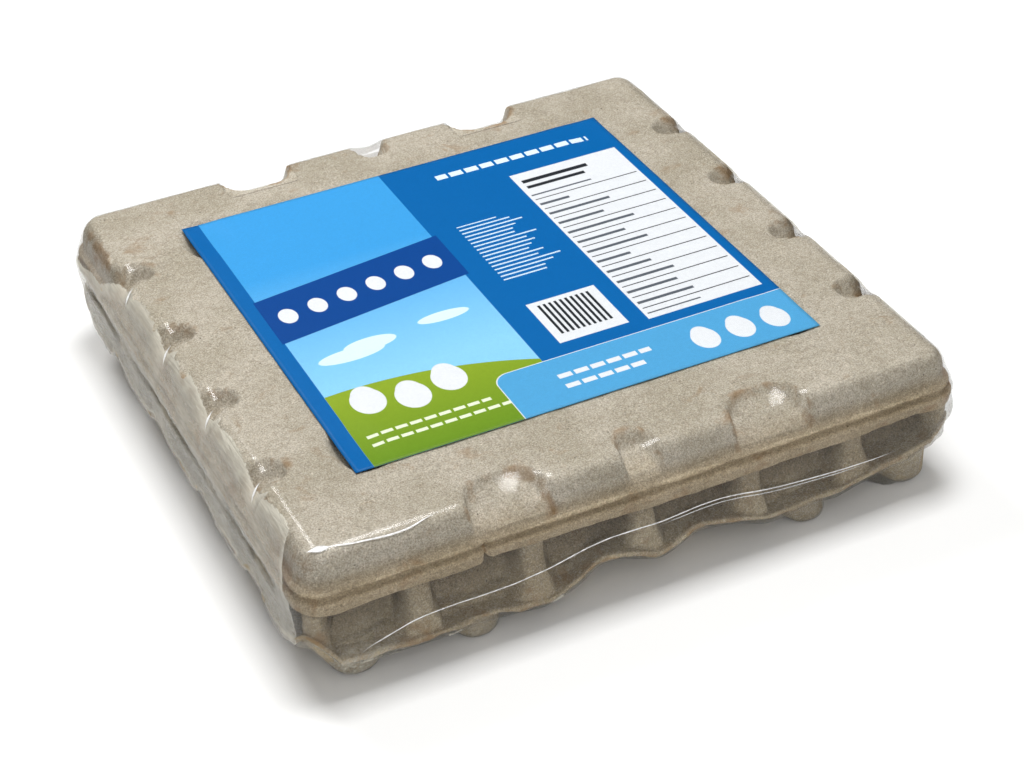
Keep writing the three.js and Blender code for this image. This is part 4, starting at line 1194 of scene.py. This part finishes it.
def makeFilm(material):
    # Rings from the middle of the top to the middle of the underside, as for the lid: taut on
    # the front and the back, a loose curtain on the left and the right, then down to the
    # flange, in under it between the feet and flat under the soles
    stations = stationsRound(lidBox, filmShape["stationSpacing"], filmShape["cornerSteps"])
    count = len(stations["side"])
    onX, end, corner, _ = sideFacts(stations, lidBox)
    turn = np.nan_to_num(stations["turn"])
    turning = ~np.isnan(stations["turn"])
    low = flangeHeight(stations, lidBox)
    out = filmShape["clearance"]
    # 1 on the left and the right, 0 on the front and the back, eased round the corners
    loose = np.where(turning, np.where(onX, turn, 1 - turn), np.where(onX, 0.0, 1.0))
    loose = smooth(loose, 0.2, 1.0)
    rings = [(np.full(count, inset), np.full(count, filmShape["top"])) for inset in
             [145, 120, 95, 75, 60, 50, 43, 37, 33, *np.arange(30, 13, -1.0)]]
    edgeInset, edgeHeight = roundedEdge(out, 14)
    edgeHeight = edgeHeight + (filmShape["top"] - edgeHeight[0]) * (1 - np.linspace(0, 1, 14)) ** 2
    wall = np.linspace(0, 1, 10)[1:]
    tautInset = np.concatenate([edgeInset, blendTo(edgeInset[-1], -out, wall)])
    tautHeight = np.concatenate([edgeHeight, blendTo(edgeHeight[-1], 50.0, wall)])
    curtain = np.array([(edgeInset[0], edgeHeight[0])] + filmShape["curtain"])
    length = np.concatenate([[0], np.cumsum(np.linalg.norm(np.diff(curtain, axis=0), axis=1))])
    at = np.linspace(0, length[-1], len(tautInset))
    looseInset, looseHeight = np.interp(at, length, curtain[:, 0]), np.interp(at, length, curtain[:, 1])
    for a, b, c, d in zip(tautInset, looseInset, tautHeight, looseHeight):
        rings.append((blendTo(a, b, loose), blendTo(c, d, loose)))
    topRings = len(rings)
    for height in (48.6, 47.2, 46.0):
        rings.append((np.full(count, -out), np.full(count, height)))
    outline = np.stack([*outlineAt(stations, lidBox, 0.0), 0 * low], axis=-1)
    tucked = loose * smooth(end, 4.0, 30.0) * filmShape["tuckIn"] * (0.6 + 0.5 * lumps(outline, 26.0, 5.2))
    for share in np.linspace(0, 1, 20)[1:]:
        height = blendTo(46.0, low + 2.6, share)
        rings.append((blendTo(-out, 1 - out, smooth(share, 0, 1)) + tucked * bell(height, 42.4, 1.7), height))
    for lift in (1.8, 0.9, 0.1, -filmShape["hem"]):
        rings.append((np.full(count, 1 - out), low + lift))
    sideRings = len(rings)
    # under the flange it follows the outer feet and is drawn in between them
    hemHeight = low - filmShape["hem"]
    for share in np.linspace(0, 1, 20)[1:]:
        height = blendTo(hemHeight, -0.2, share)
        atFeet = filmAtFeet(stations, np.maximum(height, 0.0))
        rings.append((blendTo(1 - out, atFeet, smooth(share, 0.0, 0.4)), height))
    soleRings = len(rings)
    insets = np.stack([r[0] for r in rings])
    z = np.stack([r[1] for r in rings])
    x, y = outlineAt(stations, lidBox, insets)
    number = np.arange(soleRings)[:, None]
    z = np.where(number < topRings, filmOverScoops(x, y, z), z)
    x, y = filmRoundCorners(x, y, z, smooth(number - sideRings, -2.0, 8.0))
    # flat under the soles to the middle
    flat = 1 - np.array([0.015, 0.045, 0.09, 0.16, 0.28, 0.45, 0.65, 0.85])[:, None]
    x, y = np.concatenate([x, x[-1] * flat]), np.concatenate([y, y[-1] * flat])
    z = np.concatenate([z, z[-1] + 0 * x[soleRings:]])
    insets = np.concatenate([insets, insets[-1] + 0 * x[soleRings:]])
    number = np.arange(len(x))[:, None]
    points = np.stack([x, y, z], axis=-1)
    normals = normalsOf(points)
    aside = np.where(number < sideRings, smooth(z, 66.0, 57.0), smooth(z, 1.0, 5.0))
    nearCorner = 1 - smooth(corner, 8.0, 30.0)
    ripples = (0.18 + 0.35 * nearCorner) * lumps(points * np.array([1, 1, 0.5]), 9.0, 6.1)
    ripples = ripples + 0.3 * loose * lumps(points * np.array([1, 0.25, 1.3]), 7.0, 3.3)
    # fine wrinkles run down and forwards over the loose sides
    slanted = np.stack([points[..., 0], points[..., 1] + 1.3 * z, 0.25 * z], axis=-1)
    ripples = ripples + 0.26 * loose * smooth(z, 61.0, 55.0) * lumps(slanted, 3.2, 4.6)
    points += normals * (aside * ripples)[..., None]
    # it is bunched at the right front corner, around the flange
    bunch = bell(points[..., 0], 152.0, 14.0) * bell(points[..., 1], -150.0, 16.0) * bell(z, 33.0, 13.0)
    bunch = bunch * (number < sideRings)
    folds = 0.6 + 0.4 * np.sin(points[..., 2] * 0.55 + 0.12 * points[..., 0] + 2.0 * lumps(points, 14.0, 1.1))
    points += normals * (4.6 * bunch * folds)[..., None]
    # distance down the film from the top edge, less that at which the curtain starts
    step = np.linalg.norm(np.diff(points, axis=0), axis=-1)
    down = np.concatenate([np.zeros((1, count)), np.cumsum(step, axis=0)])
    down = down - down[topRings - len(tautInset)]
    along = np.where(onX, 0.0, stations["along"])
    starts = np.where(loose > 0.9, curtainEdge(np.where(turning, np.sign(y[0]) * 134.0, along)), 60.0)
    veil = np.where(number < sideRings, np.clip(down - starts, -20.0, 12.0), -20.0)
    # where it lies on the flange's edge it is clear in places
    veil = veil - 15.0 * bell(z, low + 1.5, 3.0) * smooth(lumps(points, 11.0, 7.7), 0.0, 0.4)
    # crumpled at the left front foot and in the right front bunch
    knot = bell(points[..., 0], -128.0, 15.0) * bell(points[..., 1], -143.0, 13.0) * bell(z, 12.0, 11.0)
    onFeet = (number >= sideRings) * smooth(z, 0.3, 2.0) * smooth(filmShape["drawnIn"] - insets, 8.0, 16.0)
    milk = 0.85 * knot + 0.5 * bunch + 0.22 * onFeet
    mesh = ringedMesh("shrinkFilm", points, {"veil": veil, "milk": milk})
    return addPiece("shrinkFilm", mesh, material, "film")


# Creases and the weld: outward direction, half width, height, the share of the length over
# which an end tapers, and the points of the path; the front fold and its blob are whitish as a painted
# highlight
filmCreases = {
    "weldSeam": {
        "out": (0, -1, 0), "half": 0.2, "height": 0.25, "taper": 0.06,
        "path": [(-127.5, -148.2, 21.6), (-124.5, -148.4, 23.7), (-118.5, -148.5, 25.6),
                 (-105.1, -148.5, 29.4), (-97.9, -148.5, 30.2), (-86.3, -148.5, 30.5),
                 (-74.3, -148.5, 30.2), (-61.2, -148.5, 30.4), (-46.3, -148.6, 32.2),
                 (-29.7, -148.6, 35.9), (-19.4, -148.6, 37.2), (-6.3, -148.6, 36.9), (3.7, -148.6, 36.4),
                 (22.0, -148.6, 38.0), (31.8, -148.6, 38.0), (41.2, -148.6, 36.7), (51.2, -148.6, 34.7),
                 (60.7, -148.6, 33.4), (75.1, -148.5, 32.1), (88.8, -148.5, 31.1), (105.5, -148.5, 30.7),
                 (116.0, -148.5, 31.2)],
    },
    "weldEdge": {
        "out": (0, -1, 0), "half": 0.13, "height": 0.2, "taper": 0.15,
        "path": [(2.0, -148.6, 34.7), (22.0, -148.6, 36.1), (31.8, -148.6, 36.1), (41.2, -148.6, 34.9),
                 (51.2, -148.6, 32.9), (60.7, -148.6, 31.7), (75.1, -148.5, 30.6), (88.8, -148.5, 29.8),
                 (102.0, -148.5, 29.6)],
    },
    # a ridge along the lid's front top edge, drawn whitish as a painted highlight
    "frontFoldHighlight": {
        "out": (0, -0.45, 0.9), "half": 0.34, "height": 0.25, "taper": 0.25,
        "path": [(-139.0, -137.3, 69.5), (-131.6, -137.7, 69.4), (-124.5, -139.2, 68.9),
                 (-116.7, -140.0, 68.5), (-109.3, -140.7, 68.1), (-100.9, -140.6, 68.1),
                 (-93.5, -139.0, 68.9), (-86.4, -137.7, 69.4)],
    },
    "foldHighlightBlob": {
        "out": (0, -0.35, 0.94), "half": 1.7, "height": 0.4, "taper": 0.5,
        "path": [(-141.5, -136.7, 69.5), (-138.0, -137.0, 69.5), (-134.5, -137.3, 69.4),
                 (-131.0, -137.8, 69.3)],
    },
}
for number, fold in enumerate((69.0, 18.0, -35.0, -89.0)):
    filmCreases["sideFold%d" % (number + 1)] = {
        "out": (-0.8, 0, 0.6), "half": 0.7, "height": 0.5, "taper": 0.6,
        "path": [(-146.5, fold - 1.5, 62.0), (-145.4, fold - 0.6, 64.6), (-144.0, fold + 0.1, 66.6),
                 (-142.4, fold + 0.9, 68.3), (-140.6, fold + 1.2, 69.5)],
    }


def creasedFilmAndHighlight():
    # The same film, folded on itself or melted together in a line: whitish and glossy; on the front fold and
    # its blob the whiteness is a painted highlight
    material, tree = newMaterial("creased shrink film and painted highlight")
    place = addNode(tree, "ShaderNodeTexCoord")
    mm = addNode(tree, "ShaderNodeVectorMath", {"operation": "SCALE"},
                 {0: place.outputs["Object"], 3: 1000.0})
    uneven = addNode(tree, "ShaderNodeTexNoise",
                     inputs={"Vector": mm.outputs[0], "Scale": 1 / 3.0, "Detail": 3.0})
    share = addNode(tree, "ShaderNodeMapRange",
                    inputs={0: uneven.outputs[0], 1: 0.3, 2: 0.6, 3: 0.35, 4: 0.9})
    bump = addNode(tree, "ShaderNodeBump",
                   inputs={"Height": uneven.outputs[0], "Distance": 0.0004, "Strength": 0.5})
    clear = addNode(tree, "ShaderNodeBsdfTransparent", inputs={0: linear("#FDFDFD")})
    white = addNode(tree, "ShaderNodeBsdfPrincipled", inputs={
        "Base Color": linear(filmLook["crease"]), "Roughness": 0.16, "Specular IOR Level": 0.7,
        "Normal": bump.outputs[0]})
    whole = addNode(tree, "ShaderNodeMixShader",
                    inputs={0: share.outputs[0], 1: clear.outputs[0], 2: white.outputs[0]})
    addNode(tree, "ShaderNodeOutputMaterial", inputs={0: whole.outputs[0]})
    return material


def makeCrease(name, crease, material):
    # An oval section, across * cos a + out * sin a, carried along a path and tapered at its ends
    path = np.array(crease["path"], float)
    length = np.concatenate([[0], np.cumsum(np.linalg.norm(np.diff(path, axis=0), axis=1))])
    count = max(12, round(length[-1] / 1.2))
    at = np.linspace(0, length[-1], count)
    middle = np.stack([np.interp(at, length, path[:, k]) for k in range(3)], axis=-1)
    for _ in range(3):
        middle[1:-1] = (middle[:-2] + 2 * middle[1:-1] + middle[2:]) / 4
    forward = np.gradient(middle, axis=0)
    forward /= np.linalg.norm(forward, axis=-1, keepdims=True)
    across = np.cross(forward, crease["out"])
    across /= np.linalg.norm(across, axis=-1, keepdims=True)
    out = np.cross(across, forward)
    share = np.linspace(0, 1, count)
    size = smooth(share, -0.01, crease["taper"]) * smooth(1 - share, -0.01, crease["taper"])
    size = (size * (1 + 0.25 * lumps(middle, 6.0, 2.7)))[:, None, None]
    angle = (np.arange(12) / 12 * 2 * np.pi)[None, :, None]
    section = across[:, None] * np.cos(angle) * crease["half"]
    section = section + out[:, None] * np.sin(angle) * crease["height"]
    mesh = ringedMesh(name, middle[:, None] + section * size)
    return addPiece(name, mesh, material)


# The pack
makeStudio()
lidPulp = mouldedPulp("moulded lid pulp", pulpLook["lid"])
trayPulp = mouldedPulp("moulded tray pulp", pulpLook["tray"])
makeLid(lidPulp)
makeTray(trayPulp)
makeLabel(printedPaper())
makeFilm(shrinkFilmClear())
crease = creasedFilmAndHighlight()
for name, shape in filmCreases.items():
    makeCrease(name, shape, crease)

print("all pieces made")
